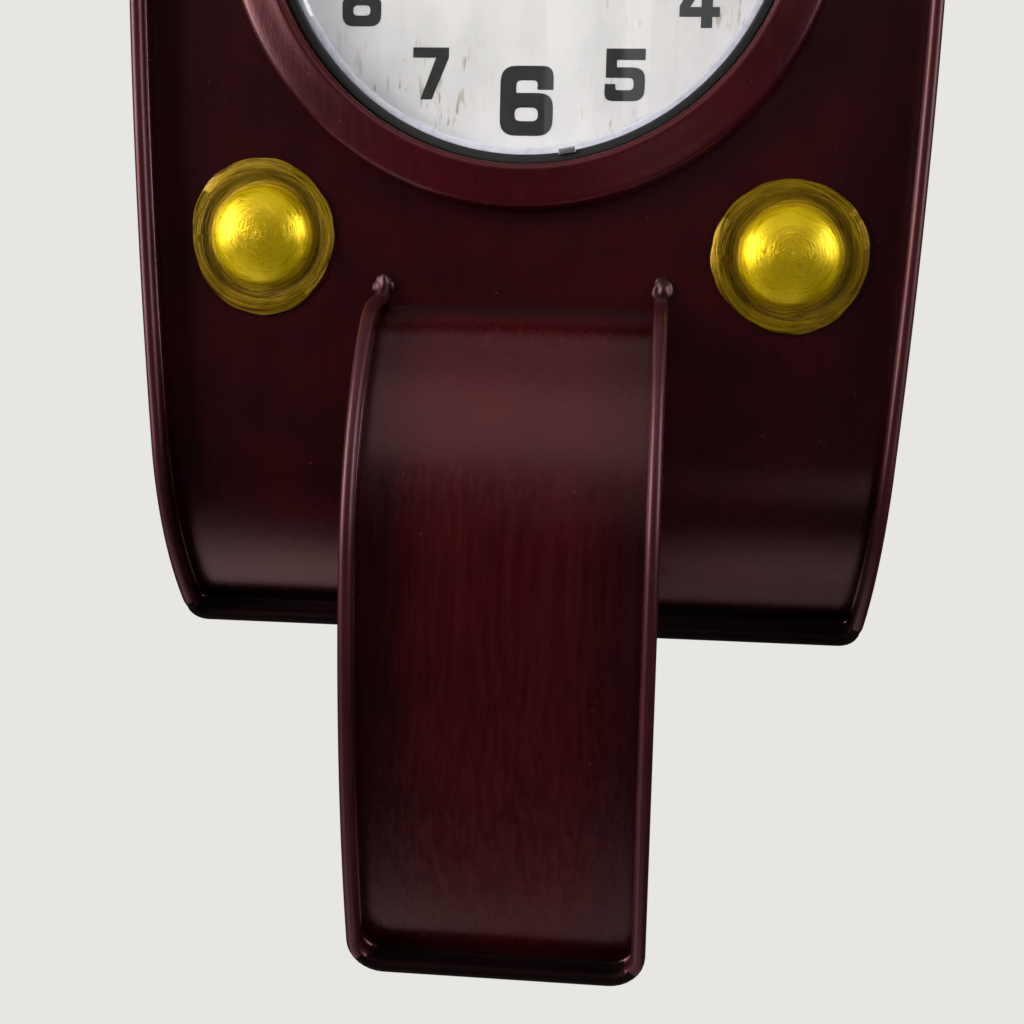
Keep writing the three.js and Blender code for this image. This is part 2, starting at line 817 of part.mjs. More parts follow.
const coilX = halfWide - 7.5;
const coilRadius = 3.4;
const bridgeBack = layer(bridgeLevel) + wheelThick;
function trainBridge() {
  const blank = plate(
    rectangle(-halfWide / 2, coilX - coilRadius - gap, coverLow, coverHigh),
    layer(bridgeLevel),
    bridgeBack,
  );
  const hole = disc(arborRadius + gap, layer(bridgeLevel) - 1, bridgeBack + 1, 12, 0, dialZ);
  return cut(blank, hole);
}

const settingKnob = () =>
  join(
    gear(knobPinion),
    disc(1.2, layer(1), caseBack + gap + 0.5, 12, knobAxis.x, knobAxis.z),
    disc(5, caseBack + gap, caseBack + gap + 3, 20, knobAxis.x, knobAxis.z),
  );

// stator lamination, with the rotor's hole, and the coil beside it
const coilLow = dialZ - 6;
const coilHigh = dialZ + 18;
const statorFront = magnetFront + 0.7;
const statorBack = statorFront + 0.8;
function stator() {
  const yoke = plate(
    rectangle(rotorAxis.x - 4.6, coilX + 2.5, coilLow - 4, coilHigh + 4),
    statorFront,
    statorBack,
  );
  const window = box(rotorAxis.x + 3.9, coilX + 3, statorFront - 1, statorBack + 1, coilLow, coilHigh);
  const hole = disc(magnetRadius + 0.6, statorFront - 1, statorBack + 1, 20, rotorAxis.x, rotorAxis.z);
  return cut(yoke, window, hole);
}
const coreBack = statorFront - gap;
const coreFront = coreBack - 0.8;
const coilCore = () =>
  plate(rectangle(coilX - 2, coilX + 2, coilLow - 3.5, coilHigh + 3.5), coreFront, coreBack);
function coil() {
  const middle = (coreFront + coreBack) / 2;
  const winding = new THREE.CylinderGeometry(coilRadius, coilRadius, coilHigh - coilLow - 1, 16);
  winding.rotateX(Math.PI / 2).translate(coilX, middle, (coilLow + coilHigh) / 2);
  const slot = box(coilX - 2 - gap, coilX + 2 + gap, coreFront - gap, coreBack + gap,
    coilLow - 5, coilHigh + 5);
  return cut(solidOf(winding), slot);
}

const boardX = caseWall + gap - halfWide;
const boardHigh = coverHigh - 1.5;
const boardBack = coverFront - 2.6;
const circuitBoard = () =>
  plate(rectangle(boardX, boardX + 11, boardHigh - 23, boardHigh), boardBack - 0.8, boardBack);
function crystal() {
  const can = new THREE.CylinderGeometry(1.1, 1.1, 6.4, 12);
  can.rotateX(Math.PI / 2);
  can.translate(boardX + 3, boardBack - 0.8 - gap - 1.1, boardHigh - 6);
  return solidOf(can);
}
const chip = () =>
  box(
    boardX + 3,
    boardX + 8.5,
    boardBack - 0.8 - gap - 1,
    boardBack - 0.8 - gap,
    boardHigh - 19,
    boardHigh - 13,
  );

const batteryZ = dialZ - halfHigh + caseWall + batteryRadius + 0.6 * batteryRoom;
const batteryY = caseFront + caseWall + 0.4 + batteryRadius;
function battery() {
  const can = [
    [0, -batteryLength / 2],
    [batteryRadius - 0.5, -batteryLength / 2],
    [batteryRadius, -batteryLength / 2 + 0.5],
    [batteryRadius, batteryLength / 2 - 0.5],
    [batteryRadius - 0.5, batteryLength / 2],
    [2.7, batteryLength / 2],
    [2.7, batteryLength / 2 + terminalRise],
    [0, batteryLength / 2 + terminalRise],
  ].map(([r, y]) => new THREE.Vector2(r, y));
  const geometry = new THREE.LatheGeometry(can, 24).rotateZ(-Math.PI / 2);
  return solidOf(geometry.translate(0, batteryY, batteryZ));
}
// a strip of spring steel against each end of the battery, with a foot under the end wall
function contact(side, reach) {
  const wall = halfWide - caseWall - gap;
  const face = side * reach;
  const strip = box(
    Math.min(face, side * (wall - contactThick)),
    Math.max(face, side * (wall - contactThick)),
    batteryY - 3,
    batteryY + 3,
    batteryZ - 3,
    batteryZ + 3,
  );
  const back = box(
    Math.min(side * (wall - 2 * contactThick), side * wall),
    Math.max(side * (wall - 2 * contactThick), side * wall),
    batteryY - 4.5,
    batteryY + 4.5,
    batteryZ - 5.5,
    batteryZ + 5.5,
  );
  return join(strip, back);
}

const nutFront = dialCardFront - gap - 1.7;
const shaftWasher = () => tube(bushHole, 7.5, dialCardFront - gap - 0.5, dialCardFront - gap, 24, 0, dialZ);
const shaftNut = () => hexNut(bushHole, 0, dialZ, nutFront + 0.3, 0.9, 11);

// ---- hands ----
// A tapered baton with a round hub: the outline runs along +Z from the hub.
function handShape(length, tail, wide, tip, hub) {
  const shape = new THREE.Shape();
  const a = Math.asin(wide / 2 / hub);
  shape.moveTo(-wide / 2, hub * Math.cos(a));
  shape.lineTo(-tip / 2, length - tip);
  shape.lineTo(0, length);
  shape.lineTo(tip / 2, length - tip);
  shape.lineTo(wide / 2, hub * Math.cos(a));
  shape.absarc(0, 0, hub, Math.PI / 2 - a, -Math.PI / 2 + a, true);
  shape.lineTo(wide / 2, -tail);
  shape.lineTo(-wide / 2, -tail);
  shape.lineTo(-wide / 2, -hub * Math.cos(a));
  shape.absarc(0, 0, hub, -Math.PI / 2 - a, -1.5 * Math.PI + a, true);
  return shape;
}
function hand(shape, back, bore, clockDegrees) {
  const blank = plate(shape, back - handThick, back);
  const made = bore > 0 ? cut(blank, disc(bore, back - 2, back + 1, 16)) : blank;
  const turn = new THREE.Matrix4().makeRotationY(THREE.MathUtils.degToRad(clockDegrees));
  return solidOf(geometryOf(made).applyMatrix4(turn).translate(0, 0, dialZ));
}
const hourHand = () =>
  hand(handShape(hourLength, 14, 5, 3.4, 7), hourHandBack, hourOuter + gap, 305);
const minuteHand = () =>
  hand(handShape(minuteLength, 18, 4, 2.6, 5.5), minuteHandBack, minuteOuter + gap, 60);
const secondHand = () =>
  hand(handShape(secondLength, 24, 1.4, 0.8, 3), secondHandBack, arborRadius + gap, 0);
// the nut between minute and second hand turns with the minute hand
const handNut = () =>
  tube(minuteInner, 2.8, minuteFront - gap - 0.4, minuteFront - gap, 16, 0, dialZ);

// ---- assembly ----
const clock = new THREE.Group();
clock.name = "wall_clock";

function add(name, material, solid) {
  const mesh = new THREE.Mesh(geometryOf(solid), material);
  mesh.name = name;
  mesh.geometry.computeVertexNormals();
  clock.add(mesh);
}

add("body_panel", maroonPaint, bodyPanel());
add("panel_rim", rimPaint, rodBody(panelEdge, true));
add("mudguard", maroonPaint, mudguard());
add("mudguard_rim", rimPaint, mudguardRim());
add("weld_bead_left", maroonPaint, weldBead(-guardHalf + rimRadius));
add("weld_bead_right", maroonPaint, weldBead(guardHalf - rimRadius));
for (const [side, x, z] of lampPlaces) {
  add(`lamp_${side}`, yellowLacquer, lampDisc(x, z));
  add(`lamp_stud_${side}`, zincSteel, lampStud(x, z));
  add(`lamp_nut_${side}`, zincSteel, hexNut(lampStudRadius + gap, x, z, panelBack + gap, 3, 7));
}
add("bezel_ring", bezelPaint, bezelRing());
add("dial_gasket", blackRubber, gasket());
add("glass", clearGlass, glassDisc());
steps(clipCount).forEach((i) =>
  add(`glass_clip_${i + 1}`, zincSteel, glassClip(firstClip + (2 * Math.PI * i) / clipCount)),
);
add("dial_spacer_ring", paleRing, spacerRing());
add("dial_card", printedCard, dialCard());
add("dial_plate", aluminium, dialPlate());
add("dial_pan", zincSteel, dialPan());
for (const [name, x, z] of studPlaces) {
  add(`bezel_stud_${name}`, zincSteel, bezelStud(x, z));
  const front = panelBack + gap + panThick + gap;
  add(`bezel_nut_${name}`, zincSteel, hexNut(studRadius + gap, x, z, front, 3, 7));
}
add("hanger_bracket", zincSteel, hangerBracket());
for (const [side, x, z] of postPlaces) {
  add(`wall_post_${side}`, zincSteel, wallPost(x, z));
  add(`rubber_foot_${side}`, blackRubber, rubberFoot(x, z));
}
add("hour_hand", blackPaint, hourHand());
add("minute_hand", blackPaint, minuteHand());
add("second_hand", blackPaint, secondHand());
add("hand_nut", brass, handNut());
add("shaft_nut", brass, shaftNut());
add("shaft_washer", brass, shaftWasher());
add("movement_case", blackPlastic, movementCase());
add("movement_cover", blackPlastic, rearCover());
add("train_bridge", whitePlastic, trainBridge());
add("hour_wheel", whitePlastic, hourWheel());
add("minute_wheel", whitePlastic, minuteWheel());
add("reverser_wheel", whitePlastic, reverserWheel());
add("third_wheel", whitePlastic, thirdWheel());
add("second_wheel", whitePlastic, secondWheel());
add("intermediate_wheel", whitePlastic, intermediateWheel());
add("rotor", greyMagnet, rotor());
add("stator", zincSteel, stator());
add("coil_core", zincSteel, coilCore());
add("coil", copper, coil());
add("circuit_board", greenBoard, circuitBoard());
add("quartz_crystal", aluminium, crystal());
add("timing_chip", blackPlastic, chip());
add("battery", batteryWrap, battery());
add("contact_positive", brass, contact(1, batteryLength / 2 + terminalRise + gap));
add("contact_negative", brass, contact(-1, batteryLength / 2 + gap));
add("setting_knob", blackPlastic, settingKnob());

export default clock;
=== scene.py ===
import json
import math
import bmesh
import bpy
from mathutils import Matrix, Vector, noise

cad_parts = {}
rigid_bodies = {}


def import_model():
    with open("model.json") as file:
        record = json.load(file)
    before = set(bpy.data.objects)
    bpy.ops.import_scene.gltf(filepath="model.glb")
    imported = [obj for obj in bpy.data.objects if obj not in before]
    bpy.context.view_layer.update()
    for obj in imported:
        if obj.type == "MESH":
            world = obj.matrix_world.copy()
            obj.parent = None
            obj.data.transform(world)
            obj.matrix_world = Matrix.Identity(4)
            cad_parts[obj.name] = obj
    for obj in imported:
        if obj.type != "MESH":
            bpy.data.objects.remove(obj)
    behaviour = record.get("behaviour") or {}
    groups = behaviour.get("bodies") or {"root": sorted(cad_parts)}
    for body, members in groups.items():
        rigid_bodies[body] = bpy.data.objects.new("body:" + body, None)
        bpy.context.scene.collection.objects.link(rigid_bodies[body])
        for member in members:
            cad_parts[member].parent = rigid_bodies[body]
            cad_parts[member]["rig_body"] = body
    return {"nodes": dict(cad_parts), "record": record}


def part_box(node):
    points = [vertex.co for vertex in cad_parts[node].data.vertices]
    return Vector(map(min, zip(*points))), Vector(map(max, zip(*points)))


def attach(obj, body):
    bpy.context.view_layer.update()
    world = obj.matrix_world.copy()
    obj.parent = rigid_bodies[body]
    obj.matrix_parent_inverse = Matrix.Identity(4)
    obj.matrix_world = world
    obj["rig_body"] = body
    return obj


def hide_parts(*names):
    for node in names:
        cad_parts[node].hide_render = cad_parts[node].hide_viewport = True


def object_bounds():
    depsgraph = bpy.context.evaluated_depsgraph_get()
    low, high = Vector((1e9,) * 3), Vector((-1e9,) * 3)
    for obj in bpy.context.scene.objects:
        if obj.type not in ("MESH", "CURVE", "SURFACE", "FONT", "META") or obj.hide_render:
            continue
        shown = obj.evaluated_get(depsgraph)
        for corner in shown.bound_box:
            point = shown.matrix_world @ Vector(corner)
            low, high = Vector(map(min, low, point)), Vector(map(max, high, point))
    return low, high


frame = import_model()
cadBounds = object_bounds()
scene = bpy.context.scene
mm = 0.001
print("stage: frame loaded,", len(frame["nodes"]), "nodes")


# node materials
def newMaterial(name, colour, rough, metal=0.0, coat=0.0, coatRough=0.1):
    material = bpy.data.materials.new(name)
    material.use_nodes = True
    shader = material.node_tree.nodes["Principled BSDF"]
    shader.inputs["Base Color"].default_value = (*colour, 1)
    shader.inputs["Roughness"].default_value = rough
    shader.inputs["Metallic"].default_value = metal
    shader.inputs["Coat Weight"].default_value = coat
    shader.inputs["Coat Roughness"].default_value = coatRough
    return material


def shaderOf(material):
    return material.node_tree.nodes["Principled BSDF"]


def link(material, source, target):
    material.node_tree.links.new(source, target)


# position in metres, stretched along one axis or another
def placeIn(material, stretch=(1, 1, 1)):
    nodes = material.node_tree.nodes
    where = nodes.new("ShaderNodeTexCoord")
    mapping = nodes.new("ShaderNodeMapping")
    mapping.inputs["Scale"].default_value = stretch
    link(material, where.outputs["Object"], mapping.inputs["Vector"])
    return mapping.outputs["Vector"]


def noiseIn(material, scale, detail=3.0, rough=0.55, stretch=(1, 1, 1), twist=0.0, where=None):
    texture = material.node_tree.nodes.new("ShaderNodeTexNoise")
    texture.inputs["Scale"].default_value = scale
    texture.inputs["Detail"].default_value = detail
    texture.inputs["Roughness"].default_value = rough
    texture.inputs["Distortion"].default_value = twist
    link(material, where or placeIn(material, stretch), texture.inputs["Vector"])
    return texture.outputs["Fac"]


def specksIn(material, scale, stretch=(1, 1, 1)):
    texture = material.node_tree.nodes.new("ShaderNodeTexVoronoi")
    texture.inputs["Scale"].default_value = scale
    link(material, placeIn(material, stretch), texture.inputs["Vector"])
    return texture.outputs["Distance"]


def remap(material, value, low, high, to0=0.0, to1=1.0):
    node = material.node_tree.nodes.new("ShaderNodeMapRange")
    node.inputs["From Min"].default_value = low
    node.inputs["From Max"].default_value = high
    node.inputs["To Min"].default_value = to0
    node.inputs["To Max"].default_value = to1
    link(material, value, node.inputs["Value"])
    return node.outputs["Result"]


def math2(material, kind, a, b):
    node = material.node_tree.nodes.new("ShaderNodeMath")
    node.operation = kind
    for socket, value in zip(node.inputs, (a, b)):
        if isinstance(value, (int, float)):
            socket.default_value = value
        else:
            link(material, value, socket)
    return node.outputs[0]


def mixColour(material, share, first, second):
    node = material.node_tree.nodes.new("ShaderNodeMix")
    node.data_type = "RGBA"
    link(material, share, node.inputs[0])
    for socket, value in ((node.inputs[6], first), (node.inputs[7], second)):
        if isinstance(value, tuple):
            socket.default_value = (*value, 1)
        else:
            link(material, value, socket)
    return node.outputs[2]


def bumpIn(material, height, depth, strength=1.0, after=None):
    node = material.node_tree.nodes.new("ShaderNodeBump")
    node.inputs["Distance"].default_value = depth
    node.inputs["Strength"].default_value = strength
    link(material, height, node.inputs["Height"])
    if after is not None:
        link(material, after, node.inputs["Normal"])
    link(material, node.outputs["Normal"], shaderOf(material).inputs["Normal"])
    return node.outputs["Normal"]


# red-brown lacquer brushed over black: cloudy, with streaks along the brush and specks of dust
lacquer = dict(
    streakScale=420, streakStretch=(1, 1, 0.035), cloudScale=34, grainScale=1500,
    dustScale=260, dustSize=0.10, bumpDepth=0.00012, sheen=(1.0, 0.46, 0.49), specular=0.8,
    # edgeDarkAndShade: near-black mixed in along spans, as painted shade and as darker lacquer at the side
    # edges
    coatRough=0.16, edgeDarkAndShade=(0.0025, 0.0004, 0.0006), dust=(0.22, 0.15, 0.14),
)


# share that grows from 0 to 1 along one axis; mirrored spans count from the middle outwards
def spanShare(material, axis, start, end, mirrored=False):
    splitter = material.node_tree.nodes.new("ShaderNodeSeparateXYZ")
    link(material, placeIn(material), splitter.inputs[0])
    value = splitter.outputs[axis]
    if mirrored:
        value = math2(material, "ABSOLUTE", value, 0)
    return remap(material, value, start, end)


def lacquerPaint(name, dark, middle, light, rough, coat=0.06, streak=1.0, shades=(), relief=1.0):
    material = newMaterial(name, middle, rough, 0, coat, lacquer["coatRough"])
    shader = shaderOf(material)
    shader.inputs["Specular Tint"].default_value = (*lacquer["sheen"], 1)
    shader.inputs["Specular IOR Level"].default_value = lacquer["specular"]
    cloud = remap(material, noiseIn(material, lacquer["cloudScale"], 4, 0.6), 0.32, 0.68)
    brushed = noiseIn(material, lacquer["streakScale"], 3, 0.6, lacquer["streakStretch"])
    streaks = remap(material, brushed, 0.35, 0.68)
    grain = noiseIn(material, lacquer["grainScale"], 2, 0.6)
    base = mixColour(material, cloud, dark, middle)
    worn = math2(material, "MULTIPLY", streaks, 0.26 * streak)
    base = mixColour(material, worn, base, light)
    # each span mixes the colour towards near-black: painted shade along bottoms and at the mudguard's root,
    # partly painted shade at the sides
    for axis, start, end, mirrored, depth in shades:
        share = math2(material, "MULTIPLY", spanShare(material, axis, start, end, mirrored), depth)
        base = mixColour(material, share, base, lacquer["edgeDarkAndShade"])
    dust = remap(material, specksIn(material, lacquer["dustScale"]), lacquer["dustSize"], 0.04)
    rare = remap(material, noiseIn(material, 90, 2), 0.60, 0.66, 0, 0.5)
    base = mixColour(material, math2(material, "MULTIPLY", dust, rare), base, lacquer["dust"])
    link(material, base, shader.inputs["Base Color"])
    uneven = math2(material, "ADD", math2(material, "MULTIPLY", streaks, 0.10 * streak), rough - 0.06)
    uneven = math2(material, "ADD", uneven, math2(material, "MULTIPLY", grain, 0.08))
    link(material, uneven, shader.inputs["Roughness"])
    height = math2(material, "ADD", math2(material, "MULTIPLY", streaks, 0.35 * streak), grain)
    bumpIn(material, height, lacquer["bumpDepth"] * relief, 0.5)
    return material


# panel: the lacquer in a darker tone than the mudguard's, as painted shade where less light falls; darker
# towards both sides, partly painted flange shade and partly darker edge lacquer; painted shade across the
# bottom of the curl
panelPaint = lacquerPaint(
    "panelPaint", (0.015, 0.0004, 0.0011), (0.033, 0.0008, 0.0022), (0.042, 0.004, 0.006), 0.27, streak=0.2,
    shades=((0, 0.095, 0.152, True, 0.45), (2, -0.4040, -0.4085, False, 0.97)))
# mudguard: the same lacquer in a lighter tone, as painted light where it faces the light more; darker towards
# both sides, partly painted flange shade and partly darker edge lacquer; painted shade along the bottom and
# painted shadow where it meets the panel
guardPaint = lacquerPaint(
    "guardPaint", (0.026, 0.0007, 0.0016), (0.046, 0.0011, 0.0026), (0.080, 0.007, 0.008), 0.25, streak=0.8,
    shades=((0, 0.026, 0.054, True, 0.62), (2, -0.530, -0.545, False, 0.85), (1, -0.050, -0.038, False, 0.9)))
rimPaint = lacquerPaint(
    "rimPaint", (0.018, 0.0010, 0.0018), (0.040, 0.0022, 0.0034), (0.066, 0.007, 0.009), 0.42, streak=0.3)
# near-black paint with little sheen for the bottom runs of rods and sheets: painted shade
bottomShadePaint = lacquerPaint(
    "bottomShadePaint", (0.0010, 0.0003, 0.0004), (0.0022, 0.0004, 0.0006), (0.005, 0.001, 0.001), 0.62,
    coat=0, streak=0.2)
shaderOf(bottomShadePaint).inputs["Specular IOR Level"].default_value = 0.12
bezelPaint = lacquerPaint(
    "bezelPaint", (0.026, 0.0010, 0.0022), (0.060, 0.0018, 0.0042), (0.080, 0.006, 0.009), 0.31, streak=0.4)
weldPaint = lacquerPaint(
    "weldPaint", (0.004, 0.0004, 0.0007), (0.012, 0.0007, 0.0014), (0.020, 0.002, 0.003), 0.44,
    coat=0.02, streak=0, relief=0.3)


# metals, plastics, rubber
def plainFinish(name, colour, other, rough, metal=0.0, scale=300, stretch=(1, 1, 1), depth=0.00003, coat=0.0):
    material = newMaterial(name, colour, rough, metal, coat)
    shader = shaderOf(material)
    mottle = remap(material, noiseIn(material, scale, 4, 0.6, stretch), 0.3, 0.7)
    link(material, mixColour(material, mottle, colour, other), shader.inputs["Base Color"])
    link(material, remap(material, mottle, 0, 1, rough - 0.06, rough + 0.08), shader.inputs["Roughness"])
    bumpIn(material, noiseIn(material, scale * 4, 3, 0.6, stretch), depth, 0.4)
    return material


zincSteel = plainFinish("zincSteel", (0.50, 0.51, 0.53), (0.34, 0.34, 0.36), 0.38, 0.95, 260, (1, 1, 0.4))
dialAluminium = plainFinish(
    "dialAluminium", (0.68, 0.68, 0.69), (0.56, 0.56, 0.58), 0.34, 0.95, 500, (1, 1, 0.05))
brass = plainFinish("brass", (0.66, 0.48, 0.17), (0.50, 0.34, 0.11), 0.26, 1.0, 420)
copperWire = plainFinish(
    "copperWire", (0.56, 0.22, 0.08), (0.34, 0.11, 0.04), 0.34, 0.9, 2200, (0.05, 0.05, 1.6), 0.0001)
blackRubber = plainFinish(
    "blackRubber", (0.012, 0.012, 0.013), (0.022, 0.021, 0.021), 0.62, 0, 700, depth=0.00006)
blackPlastic = plainFinish(
    "blackPlastic", (0.016, 0.016, 0.017), (0.026, 0.026, 0.027), 0.46, 0, 1800, depth=0.00008)
whitePlastic = plainFinish("whitePlastic", (0.80, 0.79, 0.75), (0.70, 0.69, 0.64), 0.42, 0, 900)
spacerPlastic = plainFinish("spacerPlastic", (0.56, 0.54, 0.66), (0.66, 0.65, 0.72), 0.30, 0, 240, coat=0.4)
boardGreen = plainFinish(
    "boardGreen", (0.022, 0.12, 0.045), (0.035, 0.17, 0.06), 0.36, 0, 1200, (1, 1, 0.2), coat=0.3)
magnetGrey = plainFinish("magnetGrey", (0.16, 0.16, 0.17), (0.10, 0.10, 0.11), 0.46, 0.5, 900)
handPaint = plainFinish("handPaint", (0.010, 0.010, 0.011), (0.020, 0.020, 0.021), 0.34, 0, 800)


# battery sleeve: one broad copper band on a dark blue sleeve, without a word on it
sleeve = dict(bandFrom=0.011, bandSoft=0.0004, blue=(0.012, 0.045, 0.20), band=(0.62, 0.30, 0.10))
batteryWrap = newMaterial("batteryWrap", sleeve["blue"], 0.3, 0.25, 0.5)
splitter = batteryWrap.node_tree.nodes.new("ShaderNodeSeparateXYZ")
link(batteryWrap, placeIn(batteryWrap), splitter.inputs[0])
bandEnd = sleeve["bandFrom"] + sleeve["bandSoft"]
bandShare = remap(batteryWrap, splitter.outputs[0], sleeve["bandFrom"], bandEnd)
scuffed = mixColour(batteryWrap, noiseIn(batteryWrap, 500, 4), sleeve["blue"], (0.02, 0.07, 0.28))
sleeveColour = mixColour(batteryWrap, bandShare, scuffed, sleeve["band"])
link(batteryWrap, sleeveColour, shaderOf(batteryWrap).inputs["Base Color"])
bumpIn(batteryWrap, noiseIn(batteryWrap, 1600, 2), 0.00003, 0.4)


# clear glass that lets lamps through to the dial
def clearPane(name):
    material = newMaterial(name, (0.97, 0.985, 0.98), 0.02)
    shader = shaderOf(material)
    shader.inputs["Transmission Weight"].default_value = 1.0
    shader.inputs["IOR"].default_value = 1.5
    nodes = material.node_tree.nodes
    path = nodes.new("ShaderNodeLightPath")
    see = nodes.new("ShaderNodeBsdfTransparent")
    see.inputs["Color"].default_value = (0.95, 0.96, 0.955, 1)
    blend = nodes.new("ShaderNodeMixShader")
    link(material, path.outputs["Is Shadow Ray"], blend.inputs[0])
    link(material, shader.outputs[0], blend.inputs[1])
    link(material, see.outputs[0], blend.inputs[2])
    link(material, blend.outputs[0], nodes["Material Output"].inputs["Surface"])
    smear = remap(material, noiseIn(material, 22, 4, 0.6), 0.45, 0.75, 0.012, 0.05)
    link(material, smear, shader.inputs["Roughness"])
    return material


clearGlass = clearPane("clearGlass")

# aged paper print: warm white, grey clouds, upright rust-brown and grey scratches
paper = dict(
    white=(0.745, 0.705, 0.705), cloud=(0.57, 0.545, 0.55), rust=(0.34, 0.26, 0.16), grey=(0.30, 0.29, 0.29),
    scratchStretch=(1, 1, 0.17), scratchScale=520, patchScale=26,
)
dialPrint = newMaterial("dialPrint", paper["white"], 0.75)
clouds = remap(dialPrint, noiseIn(dialPrint, 30, 5, 0.62, (1, 1, 0.55)), 0.42, 0.72, 0, 0.75)
paperColour = mixColour(dialPrint, clouds, paper["white"], paper["cloud"])
patches = remap(dialPrint, noiseIn(dialPrint, paper["patchScale"], 3, 0.6, (1, 1, 0.6)), 0.50, 0.66)
upright = noiseIn(dialPrint, paper["scratchScale"], 3, 0.5, paper["scratchStretch"])
scratches = remap(dialPrint, upright, 0.60, 0.67)
rustShare = math2(dialPrint, "MULTIPLY", math2(dialPrint, "MULTIPLY", patches, scratches), 0.85)
paperColour = mixColour(dialPrint, rustShare, paperColour, paper["rust"])
fineMarks = remap(dialPrint, noiseIn(dialPrint, 900, 2, 0.5, (1, 1, 0.12)), 0.70, 0.76, 0, 0.45)
greyShare = math2(dialPrint, "MULTIPLY", fineMarks, clouds)
paperColour = mixColour(dialPrint, greyShare, paperColour, paper["grey"])
link(dialPrint, paperColour, shaderOf(dialPrint).inputs["Base Color"])
bumpIn(dialPrint, noiseIn(dialPrint, 2400, 2), 0.00002, 0.3)

print("stage: materials made")


# mesh helpers
def meshObject(name, vertices, faces, material, sharp=40):
    mesh = bpy.data.meshes.new(name)
    mesh.from_pydata([tuple(v) for v in vertices], [], faces)
    mesh.validate()
    work = bmesh.new()
    work.from_mesh(mesh)
    bmesh.ops.recalc_face_normals(work, faces=work.faces)
    work.to_mesh(mesh)
    work.free()
    piece = bpy.data.objects.new(name, mesh)
    scene.collection.objects.link(piece)
    return dressed(piece, material, sharp)


def dressed(piece, material, sharp=40):
    piece.data.materials.clear()
    piece.data.materials.append(material)
    piece.data.shade_smooth()
    piece.data.set_sharp_from_angle(angle=math.radians(sharp))
    return piece


# closed body of revolution about the dial's axis or a line parallel to it; points are (radius, y)
def turnedPiece(name, points, material, x, z, sides=192, sharp=40, wobble=None):
    vertices, faces = [], []
    count = len(points)
    onAxis = points[0][0] == 0
    for k in range(sides):
        angle = 2 * math.pi * k / sides
        for radius, y in points:
            r = radius * (wobble(angle, radius) if wobble else 1)
            vertices.append((x + r * math.cos(angle), y, z + r * math.sin(angle)))
    span = count - 1 if onAxis else count
    for k in range(sides):
        a, b = k * count, ((k + 1) % sides) * count
        for j in range(span):
            n = (j + 1) % count
            faces.append((a + j, a + n, b + n, b + j))
    piece = meshObject(name, vertices, faces, material, sharp)
    if onAxis:
        work = bmesh.new()
        work.from_mesh(piece.data)
        bmesh.ops.remove_doubles(work, verts=work.verts, dist=1e-6)
        bmesh.ops.recalc_face_normals(work, faces=work.faces)
        work.to_mesh(piece.data)
        work.free()
        dressed(piece, material, sharp)
    return piece


# profile points smoothed into arcs between straight runs
def rounded(points, radius, steps=5, closed=True):
    out = []
    count = len(points)
    for i, point in enumerate(points):
        here = Vector(point[:2])
        size = point[2] if len(point) > 2 else radius
        if size <= 0 or (not closed and i in (0, count - 1)):
            out.append(tuple(here))
            continue
        before, after = Vector(points[i - 1][:2]), Vector(points[(i + 1) % count][:2])
        toBefore, toAfter = before - here, after - here
        reach = min(size, 0.48 * toBefore.length, 0.48 * toAfter.length)
        start, end = here + toBefore.normalized() * reach, here + toAfter.normalized() * reach
        for k in range(steps + 1):
            t = k / steps
            out.append(tuple((1 - t) ** 2 * start + 2 * t * (1 - t) * here + t * t * end))
    return out


def cutFrom(piece, cutters):
    for cutter in cutters:
        modifier = piece.modifiers.new("cut", "BOOLEAN")
        modifier.operation = "DIFFERENCE"
        modifier.solver = "EXACT"
        modifier.object = cutter
    bpy.context.view_layer.update()
    made = bpy.data.meshes.new_from_object(piece.evaluated_get(bpy.context.evaluated_depsgraph_get()))
    piece.modifiers.clear()
    piece.data = made
    for cutter in cutters:
        bpy.data.objects.remove(cutter)
    return piece


def discCutter(radius, x, z, front, back, sides=96):
    outline = [(0, front), (radius, front), (radius, back), (0, back)]
    return turnedPiece("cutter", outline, zincSteel, x, z, sides)


# bent sheets: a line runs down the middle of the front face and turns towards the wall
def spineAt(spine, s):
    z, y, heading = spine["z"], spine["y"], spine["heading"]
    left = s
    for i, (length, radius) in enumerate(spine["pieces"]):
        run = left if i == len(spine["pieces"]) - 1 else min(left, length)
        if radius is None:
            z -= run * math.cos(heading)
            y += run * math.sin(heading)
        else:
            turned = heading + run / radius
            z -= radius * (math.sin(turned) - math.sin(heading))
            y += radius * (math.cos(heading) - math.cos(turned))
            heading = turned
        left -= run
    return z, y, heading


def onSheet(spine, x, s, rise=0.0):
    z, y, heading = spineAt(spine, s)
    return Vector((x, y - rise * math.cos(heading), z - rise * math.sin(heading)))


# outward direction at each point of an edge drawn in (x, s)
def outwardOf(path, closed):
    out = []
    count = len(path)
    for i in range(count):
        before = path[i - 1] if closed or i > 0 else path[0]
        after = path[(i + 1) % count] if closed or i < count - 1 else path[-1]
        along = Vector((after[0] - before[0], after[1] - before[1])).normalized()
        out.append(Vector((along.y, -along.x)))
    return out


def offsetPath(path, outward, distance):
    return [(p[0] + o.x * distance, p[1] + o.y * distance) for p, o in zip(path, outward)]


# slow unevenness of hand-worked sheet
def handWorked(point, size, seed):
    return size * noise.noise(Vector((point[0] * 14 + seed, point[1] * 14, seed * 1.7)))


# share of the flange's full height at s; it grows from the root of a sheet that has a fade
def flangeShare(shape, s):
    if "fade" not in shape:
        return 1.0
    t = min(max((s - shape["fadeFrom"]) / shape["fade"], 0.0), 1.0)
    return shape["rootShare"] + (1 - shape["rootShare"]) * t * t * (3 - 2 * t)


